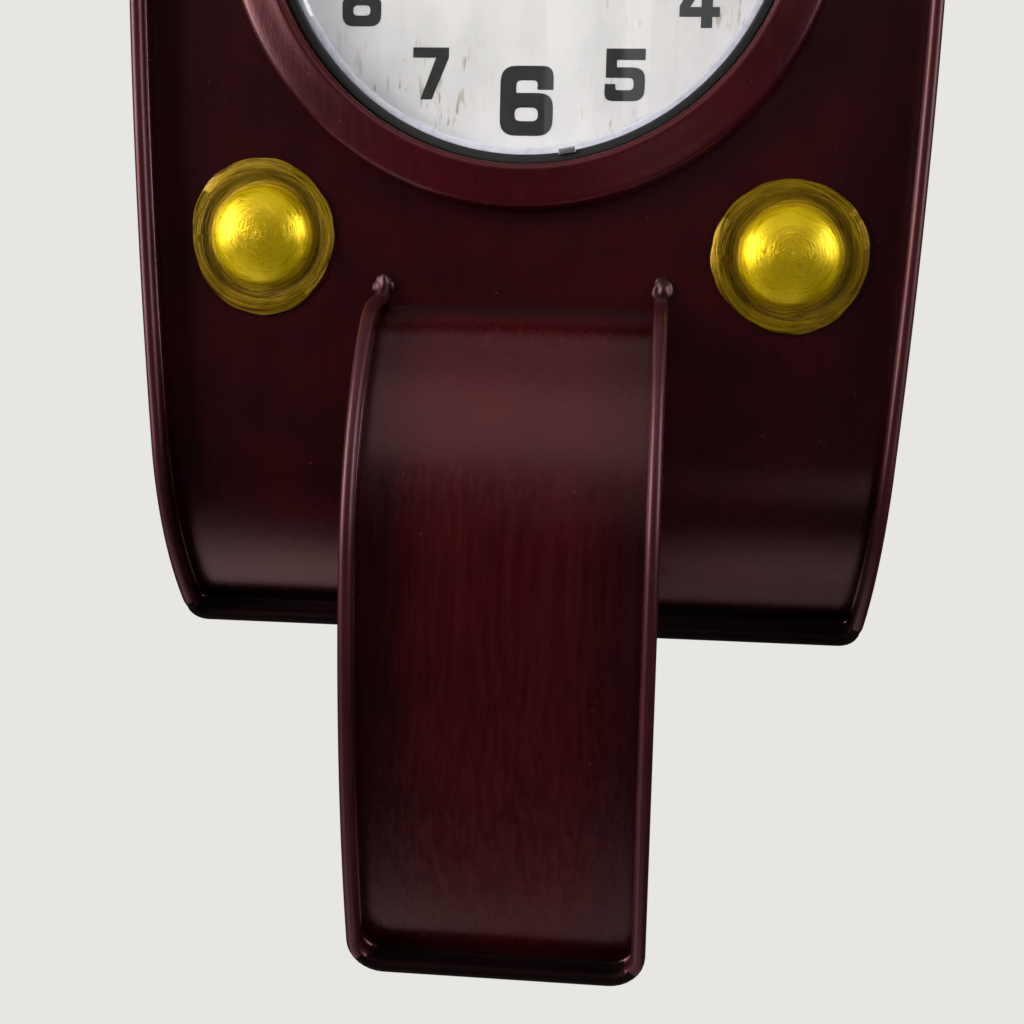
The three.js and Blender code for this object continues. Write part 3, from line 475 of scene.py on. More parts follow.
# sheet with a turned-up flange, as rows of (s, half width) with a straight last row
def flangedSheet(name, spine, rows, closedTop, shape, material, seed):
    sides = shape["columns"]
    sheet, flange = shape["sheet"], shape["flange"]
    bend = shape["bend"]
    left = [(-half, s) for s, half in rows]
    right = [(half, s) for s, half in reversed(rows)]
    bottomHalf, bottomS = rows[-1][1], rows[-1][0]
    across = [(-bottomHalf + 2 * bottomHalf * k / sides, bottomS) for k in range(1, sides)]
    top = [(0.0, rows[0][0])] if closedTop else []
    if closedTop:
        left, right = left[1:], right[:-1]
    path = left + across + right + top
    closed = closedTop
    outward = outwardOf(path, closed)
    outward = [-o for o in outward] if (outward[len(left) // 2].x > 0) else outward
    profile = [(-shape["margin"], 0.0)]
    edge = shape["edge"]
    profile += rounded([(-shape["margin"], 0), (-sheet, 0, bend), (-sheet, flange, edge), (0, flange, edge),
                        (0, -sheet, bend + sheet), (-shape["margin"], -sheet)], bend, 5, closed=False)[1:]
    vertices, faces = [], []
    count = len(path)
    for out, rise in profile:
        for i, (x, s) in enumerate(offsetPath(path, outward, out)):
            raised = rise * flangeShare(shape, s) if rise > 0 else rise
            level = raised + handWorked((x, s), shape["uneven"], seed)
            vertices.append(onSheet(spine, x, s, level))
    rings = len(profile)
    for k in range(rings - 1):
        for i in range(count if closed else count - 1):
            n = (i + 1) % count
            faces.append((k * count + i, k * count + n, (k + 1) * count + n, (k + 1) * count + i))
    inner = offsetPath(path, outward, -shape["margin"])
    rowCount = len(left)
    for side, level in ((0, 0.0), (rings - 1, -sheet)):
        grid = []
        for r in range(rowCount):
            leftIndex, rightIndex = r, len(left) + len(across) + (rowCount - 1 - r)
            line = [side * count + leftIndex]
            a, b = inner[leftIndex], inner[rightIndex]
            if r == rowCount - 1:
                line += [side * count + len(left) + k for k in range(sides - 1)]
            else:
                for k in range(1, sides):
                    t = k / sides
                    x, s = a[0] + (b[0] - a[0]) * t, a[1] + (b[1] - a[1]) * t
                    if not closedTop and r == 0:
                        s = a[1]
                    line.append(len(vertices))
                    vertices.append(onSheet(spine, x, s, level + handWorked((x, s), shape["uneven"], seed)))
            line.append(side * count + rightIndex)
            grid.append(line)
        for r in range(rowCount - 1):
            for k in range(sides):
                faces.append((grid[r][k], grid[r][k + 1], grid[r + 1][k + 1], grid[r + 1][k]))
        if closedTop:
            crown = side * count + count - 1
            for k in range(sides):
                faces.append((crown, grid[0][k], grid[0][k + 1]))
        elif side == 0:
            firstGrid = grid
        else:
            rim = [(k * count) for k in range(rings)]
            far = [(k * count + count - 1) for k in range(rings)]
            outline = firstGrid[0] + far[1:] + list(reversed(grid[0]))[1:] + list(reversed(rim))[1:-1]
            faces.append(tuple(outline))
    return meshObject(name, vertices, faces, material), path, outward


def rodAlong(name, spine, path, outward, closed, shape, material, sides=16):
    vertices, faces = [], []
    count = len(path)
    for i in range(count):
        for k in range(sides):
            angle = 2 * math.pi * k / sides
            out = shape["rod"] * math.cos(angle) - shape["sheet"] / 2
            x, s = path[i][0] + outward[i].x * out, path[i][1] + outward[i].y * out
            level = shape["flange"] * flangeShare(shape, path[i][1]) + shape["gap"]
            vertices.append(onSheet(spine, x, s, level + shape["rod"] * (1 + math.sin(angle))))
    for i in range(count if closed else count - 1):
        n = (i + 1) % count
        for k in range(sides):
            m = (k + 1) % sides
            faces.append((i * sides + k, i * sides + m, n * sides + m, n * sides + k))
    if not closed:
        faces.append(tuple(range(sides)))
        faces.append(tuple((count - 1) * sides + k for k in range(sides)))
    return meshObject(name, vertices, faces, material, 50)


def trimmedBehind(piece, y, material, sharp=40):
    work = bmesh.new()
    work.from_mesh(piece.data)
    cutEdges = bmesh.ops.bisect_plane(
        work, geom=work.verts[:] + work.edges[:] + work.faces[:],
        plane_co=(0, y, 0), plane_no=(0, 1, 0), clear_outer=True,
    )["geom_cut"]
    edges = [e for e in cutEdges if isinstance(e, bmesh.types.BMEdge)]
    bmesh.ops.triangle_fill(work, edges=edges, use_beauty=True)
    bmesh.ops.recalc_face_normals(work, faces=work.faces)
    work.to_mesh(piece.data)
    work.free()
    return dressed(piece, material, sharp)


# the run of a rod or sheet along the bottom edge, given a near-black, nearly sheenless paint as painted shade
def darkBelow(piece, height, paint):
    lowest = min(v.co.z for v in piece.data.vertices)
    piece.data.materials.append(paint)
    for face in piece.data.polygons:
        if face.center.z < lowest + height:
            face.material_index = 1


# stand-in finished with softened edges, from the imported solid's own shape
def softened(node, material, width=0.0003, segments=2, sharp=35):
    source = frame["nodes"][node]
    work = bmesh.new()
    work.from_mesh(source.data)
    bmesh.ops.remove_doubles(work, verts=work.verts, dist=2e-6)
    bmesh.ops.dissolve_limit(work, angle_limit=math.radians(2), verts=work.verts, edges=work.edges)
    edges = [e for e in work.edges if len(e.link_faces) == 2 and e.calc_face_angle(0) > math.radians(38)]
    bmesh.ops.bevel(work, geom=edges, offset=width, segments=segments, profile=0.5,
                    affect="EDGES", clamp_overlap=True)
    bmesh.ops.triangulate(work, faces=[f for f in work.faces if len(f.verts) > 4])
    bmesh.ops.recalc_face_normals(work, faces=work.faces)
    mesh = bpy.data.meshes.new(node + "_finished")
    work.to_mesh(mesh)
    work.free()
    piece = bpy.data.objects.new(node + "_finished", mesh)
    scene.collection.objects.link(piece)
    dressed(piece, material, sharp)
    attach(piece, source["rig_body"])
    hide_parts(node)
    return piece


slotOf = {part["node"]: part["material_slot"] for part in frame["record"]["subparts"]}
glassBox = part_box("glass")
dialZ = (glassBox[0].z + glassBox[1].z) / 2
glassRadius = (glassBox[1].x - glassBox[0].x) / 2
lampBox = {side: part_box("lamp_" + side) for side in ("left", "right")}
panelFront = lampBox["left"][1].y + 0.3 * mm

# pressed sheet with its edge turned forward and a round rod along it
sheetShape = dict(sheet=1.2 * mm, flange=5 * mm, gap=0.3 * mm, rod=2.7 * mm, bend=1.6 * mm,
                  margin=4.4 * mm, uneven=0.16 * mm, columns=44, edge=0.4 * mm)
edgeInset = sheetShape["rod"] - sheetShape["sheet"] / 2

# front panel, sizes from the middle of the dial
panel = dict(sheetShade=4.5 * mm, rodShade=7.5 * mm,
             half=155.9 * mm, lean=0.0189, taper=0.145, curlStart=211 * mm, curlRadius=98 * mm,
             curlAngle=math.radians(44), corner=6 * mm, flatStep=6 * mm, curlStep=2.5 * mm, archSteps=46)


def panelHalf(s):
    return panel["half"] - panel["lean"] * s - panel["taper"] * s * s - edgeInset


leanAngle = math.atan(panel["lean"])
archRadius = panelHalf(0) / math.cos(leanAngle)
archTop = archRadius * math.sin(leanAngle) + archRadius
panelEnd = panel["curlStart"] + panel["curlRadius"] * panel["curlAngle"]
panelSpine = dict(z=dialZ + archTop, y=panelFront, heading=0.0,
                  pieces=[(archTop + panel["curlStart"], None),
                          (panelEnd - panel["curlStart"], panel["curlRadius"])])


def steppedTo(start, end, step):
    count = max(1, round((end - start) / step))
    return [start + (end - start) * k / count for k in range(count)]


def cornerRows(end, half, radius, count=6):
    rows = []
    for k in range(count + 1):
        angle = math.pi / 2 * k / count
        rows.append((end - radius + radius * math.sin(angle), half - radius + radius * math.cos(angle)))
    return rows


panelRows = []
for k in range(panel["archSteps"]):
    angle = (math.pi / 2 - leanAngle) * k / panel["archSteps"]
    panelRows.append((archRadius * (1 - math.cos(angle)), archRadius * math.sin(angle)))
sideSteps = steppedTo(0, panel["curlStart"], panel["flatStep"])
sideSteps += steppedTo(panel["curlStart"], panelEnd - panel["corner"], panel["curlStep"])
panelRows += [(s + archTop, panelHalf(s)) for s in sideSteps]
panelRows += cornerRows(panelEnd + archTop, panelHalf(panelEnd), panel["corner"])
panelSheet, panelPath, panelOut = flangedSheet(
    "panelSheet", panelSpine, panelRows, True, sheetShape, panelPaint, 3.1)
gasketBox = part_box("dial_gasket")
gasketRadius = (gasketBox[1].x - gasketBox[0].x) / 2
holes = [discCutter(glassRadius + 1.9 * mm, 0, dialZ, panelFront - 9 * mm, panelFront + 9 * mm)]
for node in ("lamp_stud_left", "lamp_stud_right", "bezel_stud_1", "bezel_stud_2", "bezel_stud_3"):
    low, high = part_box(node)
    holes.append(discCutter((high.x - low.x) / 2 + 0.3 * mm, (low.x + high.x) / 2, (low.z + high.z) / 2,
                            panelFront - 3 * mm, panelFront + 4 * mm, 24))
cutFrom(panelSheet, holes)
dressed(panelSheet, panelPaint)
darkBelow(panelSheet, panel["sheetShade"], bottomShadePaint)
panelRod = rodAlong("panelRod", panelSpine, panelPath, panelOut, True, sheetShape, rimPaint)
darkBelow(panelRod, panel["rodShade"], bottomShadePaint)
for piece, node in ((panelSheet, "body_panel"), (panelRod, "panel_rim")):
    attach(piece, "clock")
    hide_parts(node)
print("stage: panel")

# mudguard: leaves the panel steeply, bends over and runs down in front
guard = dict(sheetShade=4 * mm, rodShade=7 * mm,
             half=57.3 * mm, root=154.9 * mm, rootAngle=math.radians(70), shoulder=math.radians(40),
             straight=12.7 * mm, overrun=3 * mm, bendRadius=35 * mm, upperRadius=125 * mm,
             lowerRadius=425 * mm, lowerLength=161 * mm, corner=12 * mm, step=3 * mm)
guardPieces = [
    (guard["straight"] + guard["overrun"], None),
    (guard["bendRadius"] * (guard["rootAngle"] - guard["shoulder"]), guard["bendRadius"]),
    (guard["upperRadius"] * guard["shoulder"], guard["upperRadius"]),
    (guard["lowerLength"], guard["lowerRadius"]),
]
guardSpine = dict(z=dialZ - guard["root"] + guard["overrun"] * math.cos(guard["rootAngle"]),
                  y=panelFront + guard["overrun"] * math.sin(guard["rootAngle"]),
                  heading=-guard["rootAngle"], pieces=guardPieces)
guardLength = sum(length for length, radius in guardPieces)
guardSide = guard["half"] - edgeInset
guardRows = [(s, guardSide) for s in steppedTo(0, guardLength - guard["corner"], guard["step"])]
guardRows += cornerRows(guardLength, guardSide, guard["corner"], 8)
guardShape = dict(sheetShape, columns=30, uneven=0.12 * mm,
                  fadeFrom=guard["overrun"], fade=30 * mm, rootShare=0.08)
guardSheet, guardPath, guardOut = flangedSheet(
    "guardSheet", guardSpine, guardRows, False, guardShape, guardPaint, 8.4)
guardRod = rodAlong("guardRod", guardSpine, guardPath, guardOut, False, guardShape, rimPaint)
for piece, node, paint in ((guardSheet, "mudguard", guardPaint), (guardRod, "mudguard_rim", rimPaint)):
    trimmedBehind(piece, panelFront - 0.3 * mm, paint)
    darkBelow(piece, guard["rodShade" if piece is guardRod else "sheetShade"], bottomShadePaint)
    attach(piece, "clock")
    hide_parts(node)
print("stage: mudguard")

# weld beads where the mudguard's rods meet the panel: smooth lumps that run down over the rod's end
bead = dict(wide=1.35, deep=0.95, tall=1.7, sink=2.2 * mm, lump=0.34, fineness=4)


def weldBead(node, seed):
    low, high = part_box(node)
    radius = (high.x - low.x) / 2
    work = bmesh.new()
    bmesh.ops.create_icosphere(work, subdivisions=bead["fineness"], radius=1.0)
    for vertex in work.verts:
        way = vertex.co.copy()
        size = radius * (1 + bead["lump"] * noise.noise(way * 1.3 + Vector((seed, 0, 0))))
        vertex.co = Vector(((low.x + high.x) / 2 + way.x * size * bead["wide"],
                            panelFront - 0.3 * mm + way.y * size * bead["deep"],
                            (low.z + high.z) / 2 - bead["sink"] + way.z * size * bead["tall"]))
    mesh = bpy.data.meshes.new(node + "_lump")
    work.to_mesh(mesh)
    work.free()
    piece = bpy.data.objects.new(node + "_lump", mesh)
    scene.collection.objects.link(piece)
    trimmedBehind(piece, panelFront - 0.3 * mm, weldPaint, 60)
    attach(piece, "clock")
    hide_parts(node)


weldBead("weld_bead_left", 2.2)
weldBead("weld_bead_right", 7.9)

# lamps: a dome pressed in a hand-cut disc, brushed with clear yellow
lamp = dict(dome=19.6 * mm, rise=10.5 * mm, groove=22.6 * mm, grooveDepth=0.55 * mm, thick=1.0 * mm,
            sides=144, edge=0.35 * mm)
lampLook = dict(
    deep=(0.12, 0.058, 0.0001), flat=(0.52, 0.31, 0.0002), dome=(0.90, 0.58, 0.0005),
    bright=(1.0, 0.76, 0.002), worn=(0.24, 0.115, 0.0003), patch=(0.30, 0.19, 0.001),
    # groove: near-black used as painted shade over the groove round the dome
    groove=(0.030, 0.020, 0.0003),
)


def lampPaint(name, x, z):
    material = newMaterial(name, lampLook["dome"], 0.24, 0.6, 0.08, 0.06)
    shader = shaderOf(material)
    nodes = material.node_tree.nodes
    centred = nodes.new("ShaderNodeMapping")
    centred.inputs["Location"].default_value = (-x, 0, -z)
    where = nodes.new("ShaderNodeTexCoord")
    link(material, where.outputs["Object"], centred.inputs["Vector"])
    parts = nodes.new("ShaderNodeSeparateXYZ")
    link(material, centred.outputs[0], parts.inputs[0])
    away = math2(material, "POWER", math2(material, "ADD", math2(material, "POWER", parts.outputs[0], 2),
                                          math2(material, "POWER", parts.outputs[2], 2)), 0.5)
    angle = math2(material, "ARCTAN2", parts.outputs[2], parts.outputs[0])
    polar = nodes.new("ShaderNodeCombineXYZ")
    link(material, math2(material, "MULTIPLY", away, 620), polar.inputs[0])
    link(material, math2(material, "MULTIPLY", angle, 1.1), polar.inputs[1])
    strokes = remap(material, noiseIn(material, 1, 5, 0.66, twist=1.5, where=polar.outputs[0]), 0.34, 0.66)
    patches = remap(material, noiseIn(material, 60, 3, 0.6), 0.38, 0.66)
    onDome = remap(material, away, 20.6 * mm, 18.2 * mm)
    nearTop = remap(material, away, 17 * mm, 7 * mm, 0, 1)
    flat = mixColour(material, strokes, lampLook["deep"], lampLook["flat"])
    flat = mixColour(material, math2(material, "MULTIPLY", patches, 0.4), flat, lampLook["patch"])
    dome = mixColour(material, strokes, lampLook["dome"], lampLook["bright"])
    brown = math2(material, "MULTIPLY", math2(material, "MULTIPLY", nearTop, strokes), 0.7)
    dome = mixColour(material, brown, dome, lampLook["worn"])
    colour = mixColour(material, onDome, flat, dome)
    # painted shade: a dark ring over the groove and bead round the dome
    groove = remap(material, away, 21.2 * mm, 23.4 * mm)
    ring = math2(material, "MULTIPLY", groove, remap(material, away, 25.6 * mm, 23.4 * mm))
    colour = mixColour(material, math2(material, "MULTIPLY", ring, 0.55), colour, lampLook["groove"])
    link(material, colour, shader.inputs["Base Color"])
    link(material, remap(material, strokes, 0, 1, 0.22, 0.46), shader.inputs["Roughness"])
    bumpIn(material, strokes, 0.00018, 0.5)
    return material


def lampPiece(side, outline, seed):
    low, high = lampBox[side]
    x, z = (low.x + high.x) / 2, (low.z + high.z) / 2
    radius = (high.x - low.x) / 2
    back = panelFront - 0.3 * mm
    front = back - lamp["thick"]
    profile = []
    for k in range(15):
        angle = math.pi / 2 * k / 14
        profile.append((lamp["dome"] * math.sin(angle), front - lamp["rise"] * math.cos(angle) ** 1.05))
    profile += [(lamp["dome"] + 0.5 * mm, front + 0.1 * mm),
                (lamp["groove"], front + lamp["grooveDepth"] * 0.6),
                (lamp["groove"] + 1.4 * mm, front - 0.15 * mm), (lamp["groove"] + 3.5 * mm, front)]
    profile += [(radius - lamp["edge"], front - 0.05 * mm), (radius, front + lamp["edge"]), (radius, back),
                (lamp["dome"] - 1.4 * mm, back)]
    for k in range(8):
        angle = math.pi / 2 * (1 - k / 8)
        inner = lamp["dome"] - 1.4 * mm
        profile.append((inner * math.sin(angle), back - (lamp["rise"] - 0.6 * mm) * math.cos(angle)))
    profile.append((0, back - lamp["rise"] + 0.6 * mm))

    def wobble(angle, r):
        share = max(0.0, (r - lamp["groove"]) / (radius - lamp["groove"]))
        size = outline["base"]
        for turns, amount, start in outline["waves"]:
            size += amount * math.cos(turns * angle - start)
        facets = 0.010 * abs(math.sin(outline["cuts"] * (angle + seed) / 2)) - 0.005
        dent = 0.004 * noise.noise(Vector((math.cos(angle) * 3, math.sin(angle) * 3, seed)))
        return 1 + share * (size + facets + dent - 1)

    paint = lampPaint("lampLacquer_" + side, x, z)
    piece = turnedPiece("lampDisc_" + side, profile, paint, x, z, lamp["sides"], 50, wobble)
    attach(piece, "clock")
    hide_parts("lamp_" + side)


lampPiece("left", dict(base=0.985, waves=((2, -0.038, 0.25), (3, 0.012, 1.2), (5, 0.006, 0.6)), cuts=13), 1.3)
lampPiece("right", dict(base=0.988, waves=((2, 0.012, -0.4), (3, 0.010, 2.4), (4, 0.008, 1.0)), cuts=15), 4.1)
print("stage: lamps")

# bezel, glass, gasket, spacer
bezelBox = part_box("bezel_ring")
bezel = dict(outer=(bezelBox[1].x - bezelBox[0].x) / 2, inner=gasketRadius + 0.3 * mm, crest=bezelBox[0].y,
             foot=bezelBox[1].y, shoulder=9.4 * mm, skin=1.2 * mm)
o, i, crest, foot = bezel["outer"], bezel["inner"], bezel["crest"], bezel["foot"]
ledge = panelFront - bezel["shoulder"]
skin = bezel["skin"]
bezelProfile = rounded([
    (o, foot, 0), (o, ledge, 2.6 * mm), (o - 3.6 * mm, ledge - 1.3 * mm, 1.6 * mm),
    (i + 6.2 * mm, crest + 1.1 * mm, 4 * mm),
    (i + 2.3 * mm, crest - 0.1 * mm, 2.4 * mm), (i, crest + 1.2 * mm, 1.8 * mm), (i, foot - 3 * mm, 0),
    (i + skin, foot - 3 * mm, 0), (i + skin, crest + 2.8 * mm, 1 * mm),
    (i + 3 * mm, crest + 1.25 * mm, 1 * mm),
    (o - 3 * mm, ledge + 0.1 * mm, 1.4 * mm), (o - skin, foot, 0)], 0, 7)
bezelRing = turnedPiece("bezelRing", bezelProfile, bezelPaint, 0, dialZ, 256, 60)
front, back = glassBox[0].y, glassBox[1].y
glassProfile = [(0, front), (glassRadius - 3 * mm, front), (glassRadius - 0.25 * mm, front + 1.15 * mm),
                (glassRadius, front + 1.4 * mm), (glassRadius, back - 0.2 * mm),
                (glassRadius - 0.2 * mm, back), (0, back)]
glassPane = turnedPiece("glassPane", glassProfile, clearGlass, 0, dialZ, 256, 20)
low, high = gasketBox
gasketProfile = rounded([(glassRadius + 0.3 * mm, low.y, 0.7 * mm), (gasketRadius, low.y, 0.7 * mm),
                         (gasketRadius, high.y, 0), (glassRadius + 0.3 * mm, high.y, 0)], 0, 4)
gasketRing = turnedPiece("gasketRing", gasketProfile, blackRubber, 0, dialZ, 256, 60)
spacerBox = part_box("dial_spacer_ring")
spacerOuter = (spacerBox[1].x - spacerBox[0].x) / 2
spacerInner = spacerOuter - 2.5 * mm
spacerProfile = rounded([(spacerInner, spacerBox[0].y, 0.5 * mm), (spacerOuter, spacerBox[0].y, 0.3 * mm),
                         (spacerOuter, spacerBox[1].y, 0), (spacerInner, spacerBox[1].y, 0.2 * mm)], 0, 3)
spacerRing = turnedPiece("spacerRing", spacerProfile, spacerPlastic, 0, dialZ, 256, 60)
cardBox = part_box("dial_card")
shaftHole = 4.3 * mm
cardProfile = [(shaftHole, cardBox[0].y), (glassRadius, cardBox[0].y),
               (glassRadius, cardBox[1].y), (shaftHole, cardBox[1].y)]
cardDisc = turnedPiece("cardDisc", cardProfile, dialPrint, 0, dialZ, 192, 40)
for piece, node in ((bezelRing, "bezel_ring"), (glassPane, "glass"), (gasketRing, "dial_gasket"),
                    (spacerRing, "dial_spacer_ring"), (cardDisc, "dial_card")):
    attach(piece, "clock")
    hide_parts(node)
print("stage: bezel, glass and dial")

# numerals: heavy squared figures with rounded corners, as outlines (x, y, corner) in figure widths
numeral = dict(bigHeight=26.6 * mm, smallHeight=19.8 * mm, circle=75.4 * mm, thick=0.09 * mm, gap=0.11)
big, mid, small = 0.30, 0.12, 0.03
figures = {
    "0": ([(0, 0, big), (1, 0, big), (1, 1.29, big), (0, 1.29, big)],
          [(0.28, 0.27, mid), (0.28, 1.02, mid), (0.72, 1.02, mid), (0.72, 0.27, mid)]),
    "1": ([(0.22, 0, 0), (0.52, 0, 0), (0.52, 1.29, 0), (0.26, 1.29, 0), (0, 1.10, 0), (0, 0.82, 0),
           (0.22, 0.96, 0)],),
    "2": ([(0, 0, 0), (1, 0, 0), (1, 0.27, 0), (0.46, 0.27, 0), (1, 0.70, 0.2), (1, 1.29, big),
           (0, 1.29, big), (0, 0.86, 0), (0.28, 0.86, 0), (0.28, 1.03, mid), (0.72, 1.03, mid),
           (0.72, 0.84, mid), (0, 0.30, small)],),
    "3": ([(0, 0, big), (1, 0, big), (1, 0.62, mid), (0.94, 0.655, small), (1, 0.69, mid), (1, 1.29, big),
           (0, 1.29, big), (0, 0.90, 0), (0.28, 0.90, 0), (0.28, 1.03, mid), (0.72, 1.03, mid),
           (0.72, 0.78, 0.08),
           (0.36, 0.78, 0), (0.36, 0.52, 0), (0.72, 0.52, 0.08), (0.72, 0.27, mid), (0.28, 0.27, mid),
           (0.28, 0.40, 0), (0, 0.40, 0)],),
    "4": ([(0, 0.27, 0), (0.54, 0.27, 0), (0.54, 0, 0), (0.82, 0, 0), (0.82, 0.27, 0), (1, 0.27, 0),
           (1, 0.51, 0), (0.82, 0.51, 0), (0.82, 1.29, 0), (0.44, 1.29, 0), (0, 0.53, 0)],
          [(0.27, 0.51, 0), (0.54, 0.97, 0), (0.54, 0.51, 0)]),
    "5": ([(0, 0.42, 0), (0, 0, big), (1, 0, big), (1, 0.83, big), (0.29, 0.83, small), (0.29, 1.01, small),
           (1, 1.01, 0), (1, 1.29, 0), (0.02, 1.29, 0), (0.02, 0.57, 0), (0.72, 0.57, mid), (0.72, 0.27, mid),
           (0.27, 0.27, mid), (0.27, 0.42, 0)],),
    "6": ([(0, 0, big), (1, 0, big), (1, 0.79, 0.27), (0.30, 0.79, small), (0.30, 1.02, 0.1),
           (0.70, 1.02, 0.08), (0.70, 0.85, 0), (1, 0.85, 0), (1, 1.29, big), (0, 1.29, big)],
          [(0.28, 0.27, mid), (0.28, 0.52, mid), (0.72, 0.52, mid), (0.72, 0.27, mid)]),
    "7": ([(0.22, 0, 0), (0.54, 0, 0), (1, 1.13, 0), (1, 1.41, 0), (0, 1.41, 0), (0, 1.13, 0),
           (0.64, 1.13, 0)],),
    "8": ([(0, 0, big), (1, 0, big), (1, 0.62, mid), (0.94, 0.655, small), (1, 0.69, mid), (1, 1.29, big),
           (0, 1.29, big), (0, 0.69, mid), (0.06, 0.655, small), (0, 0.62, mid)],
          [(0.28, 0.27, mid), (0.28, 0.52, mid), (0.72, 0.52, mid), (0.72, 0.27, mid)],
          [(0.28, 0.78, mid), (0.28, 1.03, mid), (0.72, 1.03, mid), (0.72, 0.78, mid)]),
}
figures["9"] = tuple([(1 - x, 1.29 - y, r) for x, y, r in loop] for loop in figures["6"])


def figureLoops(digit):
    loops = figures[digit]
    return loops, max(x for x, y, r in loops[0]), max(y for x, y, r in loops[0])


def numeralPiece(number, big):
    height = numeral["bigHeight"] if big else numeral["smallHeight"]
    sizes = [figureLoops(digit) for digit in str(number)]
    scale = [height / tall for loops, wide, tall in sizes]
    widths = [wide * k for (loops, wide, tall), k in zip(sizes, scale)]
    space = numeral["gap"] * height
    start = -(sum(widths) + space * (len(widths) - 1)) / 2
    angle = math.radians(30 * number)
    middle = Vector((math.sin(angle) * numeral["circle"], math.cos(angle) * numeral["circle"]))
    face = cardBox[0].y - numeral["thick"]
    work = bmesh.new()
    for (loops, wide, tall), k, width in zip(sizes, scale, widths):
        edges = []
        for loop in loops:
            outline = rounded(loop, 0, 6)
            points = []
            for px, py in outline:
                if not points or (Vector((px, py)) - Vector(points[-1])).length > 1e-4:
                    points.append((px, py))
            ring = [work.verts.new((middle.x + start + px * k, face, dialZ + middle.y - height / 2 + py * k))
                    for px, py in points]
            edges += [work.edges.new((ring[n], ring[(n + 1) % len(ring)])) for n in range(len(ring))]
        bmesh.ops.triangle_fill(work, edges=edges, use_beauty=True, use_dissolve=False)
        start += width + space
    bmesh.ops.recalc_face_normals(work, faces=work.faces)
    grown = bmesh.ops.extrude_face_region(work, geom=work.faces[:])["geom"]
    bmesh.ops.translate(work, vec=(0, numeral["thick"] + 0.02 * mm, 0),
                        verts=[v for v in grown if isinstance(v, bmesh.types.BMVert)])
    bmesh.ops.recalc_face_normals(work, faces=work.faces)
    mesh = bpy.data.meshes.new(f"numeral_{number}")
    work.to_mesh(mesh)
    work.free()
    piece = bpy.data.objects.new(f"numeral_{number}", mesh)
    scene.collection.objects.link(piece)
    dressed(piece, numeralInk, 30)
    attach(piece, "clock")


numeralInk = plainFinish("numeralInk", (0.0065, 0.007, 0.007), (0.014, 0.015, 0.014), 0.5, 0, 500)
for number in range(1, 13):
    numeralPiece(number, number % 3 == 0)
print("stage: numerals")

# hardware and movement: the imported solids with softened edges, or their own mesh with a finish
soft = dict(
    hour_hand=(handPaint, 0.12), minute_hand=(handPaint, 0.12), second_hand=(handPaint, 0.10),
    hand_nut=(brass, 0.10), shaft_nut=(brass, 0.10), shaft_washer=(brass, 0.10),
    glass_clip_1=(zincSteel, 0.18), glass_clip_2=(zincSteel, 0.18), glass_clip_3=(zincSteel, 0.18),
    hanger_bracket=(zincSteel, 0.30), movement_case=(blackPlastic, 0.35), movement_cover=(blackPlastic, 0.30),
    setting_knob=(blackPlastic, 0.20), circuit_board=(boardGreen, 0.05), timing_chip=(blackPlastic, 0.10),
    lamp_nut_left=(zincSteel, 0.25), lamp_nut_right=(zincSteel, 0.25),
    bezel_nut_1=(zincSteel, 0.25), bezel_nut_2=(zincSteel, 0.25), bezel_nut_3=(zincSteel, 0.25),
    contact_positive=(brass, 0.10), contact_negative=(brass, 0.10), train_bridge=(whitePlastic, 0.15),
)
for node, (paint, width) in soft.items():
    softened(node, paint, width * mm)

looks = dict(
    zinc_steel=zincSteel, black_rubber=blackRubber, dial_aluminium=dialAluminium, white_plastic=whitePlastic,
    magnet_grey=magnetGrey, copper_wire=copperWire, battery_wrap=batteryWrap, brass=brass,
    black_plastic=blackPlastic,
    hand_paint=handPaint, board_green=boardGreen, dial_print=dialPrint, spacer_plastic=spacerPlastic,
    panel_paint=panelPaint, rim_paint=rimPaint, bezel_paint=bezelPaint, clear_glass=clearGlass,
)
for node, piece in frame["nodes"].items():
    if piece.hide_render or slotOf[node] not in looks:
        continue
    piece.data.materials.clear()
    piece.data.materials.append(looks[slotOf[node]])
print("stage: hardware")

# floor, light and camera
floorAt = dict(size=2.3, drop=1.7, middle=0.14)
floorPlace = (0, floorAt["middle"], cadBounds[0].z - floorAt["drop"])
bpy.ops.mesh.primitive_plane_add(size=floorAt["size"], location=floorPlace)
floor = bpy.context.object
floor.name = "floor"
floorFinish = plainFinish("floorFinish", (0.72, 0.71, 0.69), (0.68, 0.67, 0.65), 0.8, 0, 3)
floor.data.materials.append(floorFinish)

world = bpy.data.worlds.new("room")
scene.world = world
world.use_nodes = True
nodes, links = world.node_tree.nodes, world.node_tree.links
background = nodes["Background"]
background.inputs["Color"].default_value = (0.80, 0.79, 0.765, 1)
dim = nodes.new("ShaderNodeBackground")
dim.inputs["Color"].default_value = (0.9, 0.93, 1.0, 1)
dim.inputs["Strength"].default_value = 0.03
seen = nodes.new("ShaderNodeLightPath")
blend = nodes.new("ShaderNodeMixShader")
links.new(seen.outputs["Is Camera Ray"], blend.inputs[0])
links.new(dim.outputs[0], blend.inputs[1])
links.new(background.outputs[0], blend.inputs[2])
links.new(blend.outputs[0], nodes["World Output"].inputs["Surface"])

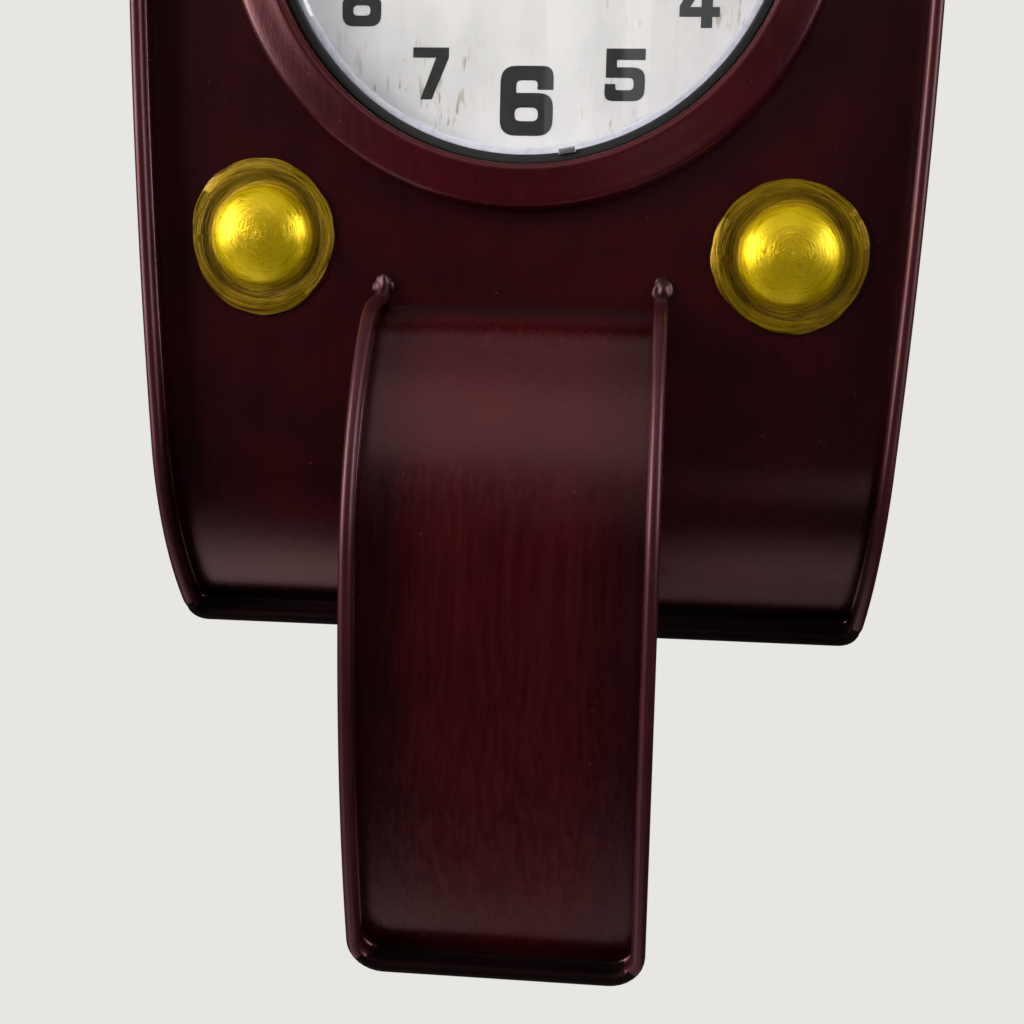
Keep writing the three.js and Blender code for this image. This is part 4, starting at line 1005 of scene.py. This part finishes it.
middle = Vector((0, panelFront, -0.30))
softLights = [
    dict(name="windowLeft", away=2.0, azimuth=-64, up=16, size=(0.9, 1.3), power=39, tint=(1, 0.985, 0.96)),
    dict(name="windowRight", away=2.0, azimuth=68, up=20, size=(0.8, 1.2), power=22, tint=(0.96, 0.98, 1)),
    dict(name="aboveFront", away=2.2, azimuth=-8, up=46, size=(2.4, 1.3), power=7.0, tint=(1, 0.98, 0.97)),
    dict(name="overhead", away=2.0, azimuth=0, up=78, size=(1.6, 1.0), power=1.6, tint=(1, 1, 1)),
    dict(name="glowBelow", away=1.3, azimuth=-62, up=-51, size=(0.9, 1.2), power=2.1, tint=(1, 0.98, 0.97)),
    dict(name="glowRight", away=2.0, azimuth=18, up=-17, size=(0.5, 0.4), power=0.5, tint=(1, 0.95, 0.96)),
    dict(name="glowBelowRight", away=1.5, azimuth=24, up=-56, size=(0.55, 0.5), power=0.5,
         tint=(1, 0.96, 0.96)),
    dict(name="curtainOne", away=3.0, azimuth=-3.4, up=22, size=(0.11, 1.4), power=0.24, tint=(1, 1, 1)),
    dict(name="curtainTwo", away=3.0, azimuth=-0.4, up=22, size=(0.06, 1.4), power=0.14, tint=(1, 1, 1)),
    dict(name="curtainThree", away=3.0, azimuth=2.6, up=22, size=(0.12, 1.4), power=0.23, tint=(1, 1, 1)),
    dict(name="behindFill", away=2.2, azimuth=170, up=35, size=(1.5, 1.5), power=26, tint=(1, 1, 1)),
]
for light in softLights:
    lampData = bpy.data.lights.new(light["name"], "AREA")
    lampData.shape = "RECTANGLE"
    lampData.size, lampData.size_y = light["size"]
    lampData.energy = light["power"]
    lampData.color = light["tint"]
    lampObject = bpy.data.objects.new(light["name"], lampData)
    scene.collection.objects.link(lampObject)
    lampObject.visible_camera = False
    a, e = math.radians(light["azimuth"]), math.radians(light["up"])
    way = Vector((math.sin(a) * math.cos(e), -math.cos(a) * math.cos(e), math.sin(e)))
    lampObject.location = middle + way * light["away"]
    lampObject.rotation_euler = way.to_track_quat("Z", "Y").to_euler()

cameraAt = dict(place=(0.0547, -0.6228, -0.3155), turn=(84.808, -1.514, 5.568), lens=52.73)
cameraData = bpy.data.cameras.new("camera")
cameraData.lens = cameraAt["lens"]
cameraData.sensor_width = 36
cameraData.clip_start = 0.01
camera = bpy.data.objects.new("camera", cameraData)
camera.location = cameraAt["place"]
camera.rotation_euler = [math.radians(v) for v in cameraAt["turn"]]
scene.collection.objects.link(camera)
scene.camera = camera
scene.view_settings.view_transform = "Standard"
print("stage: floor, light and camera")
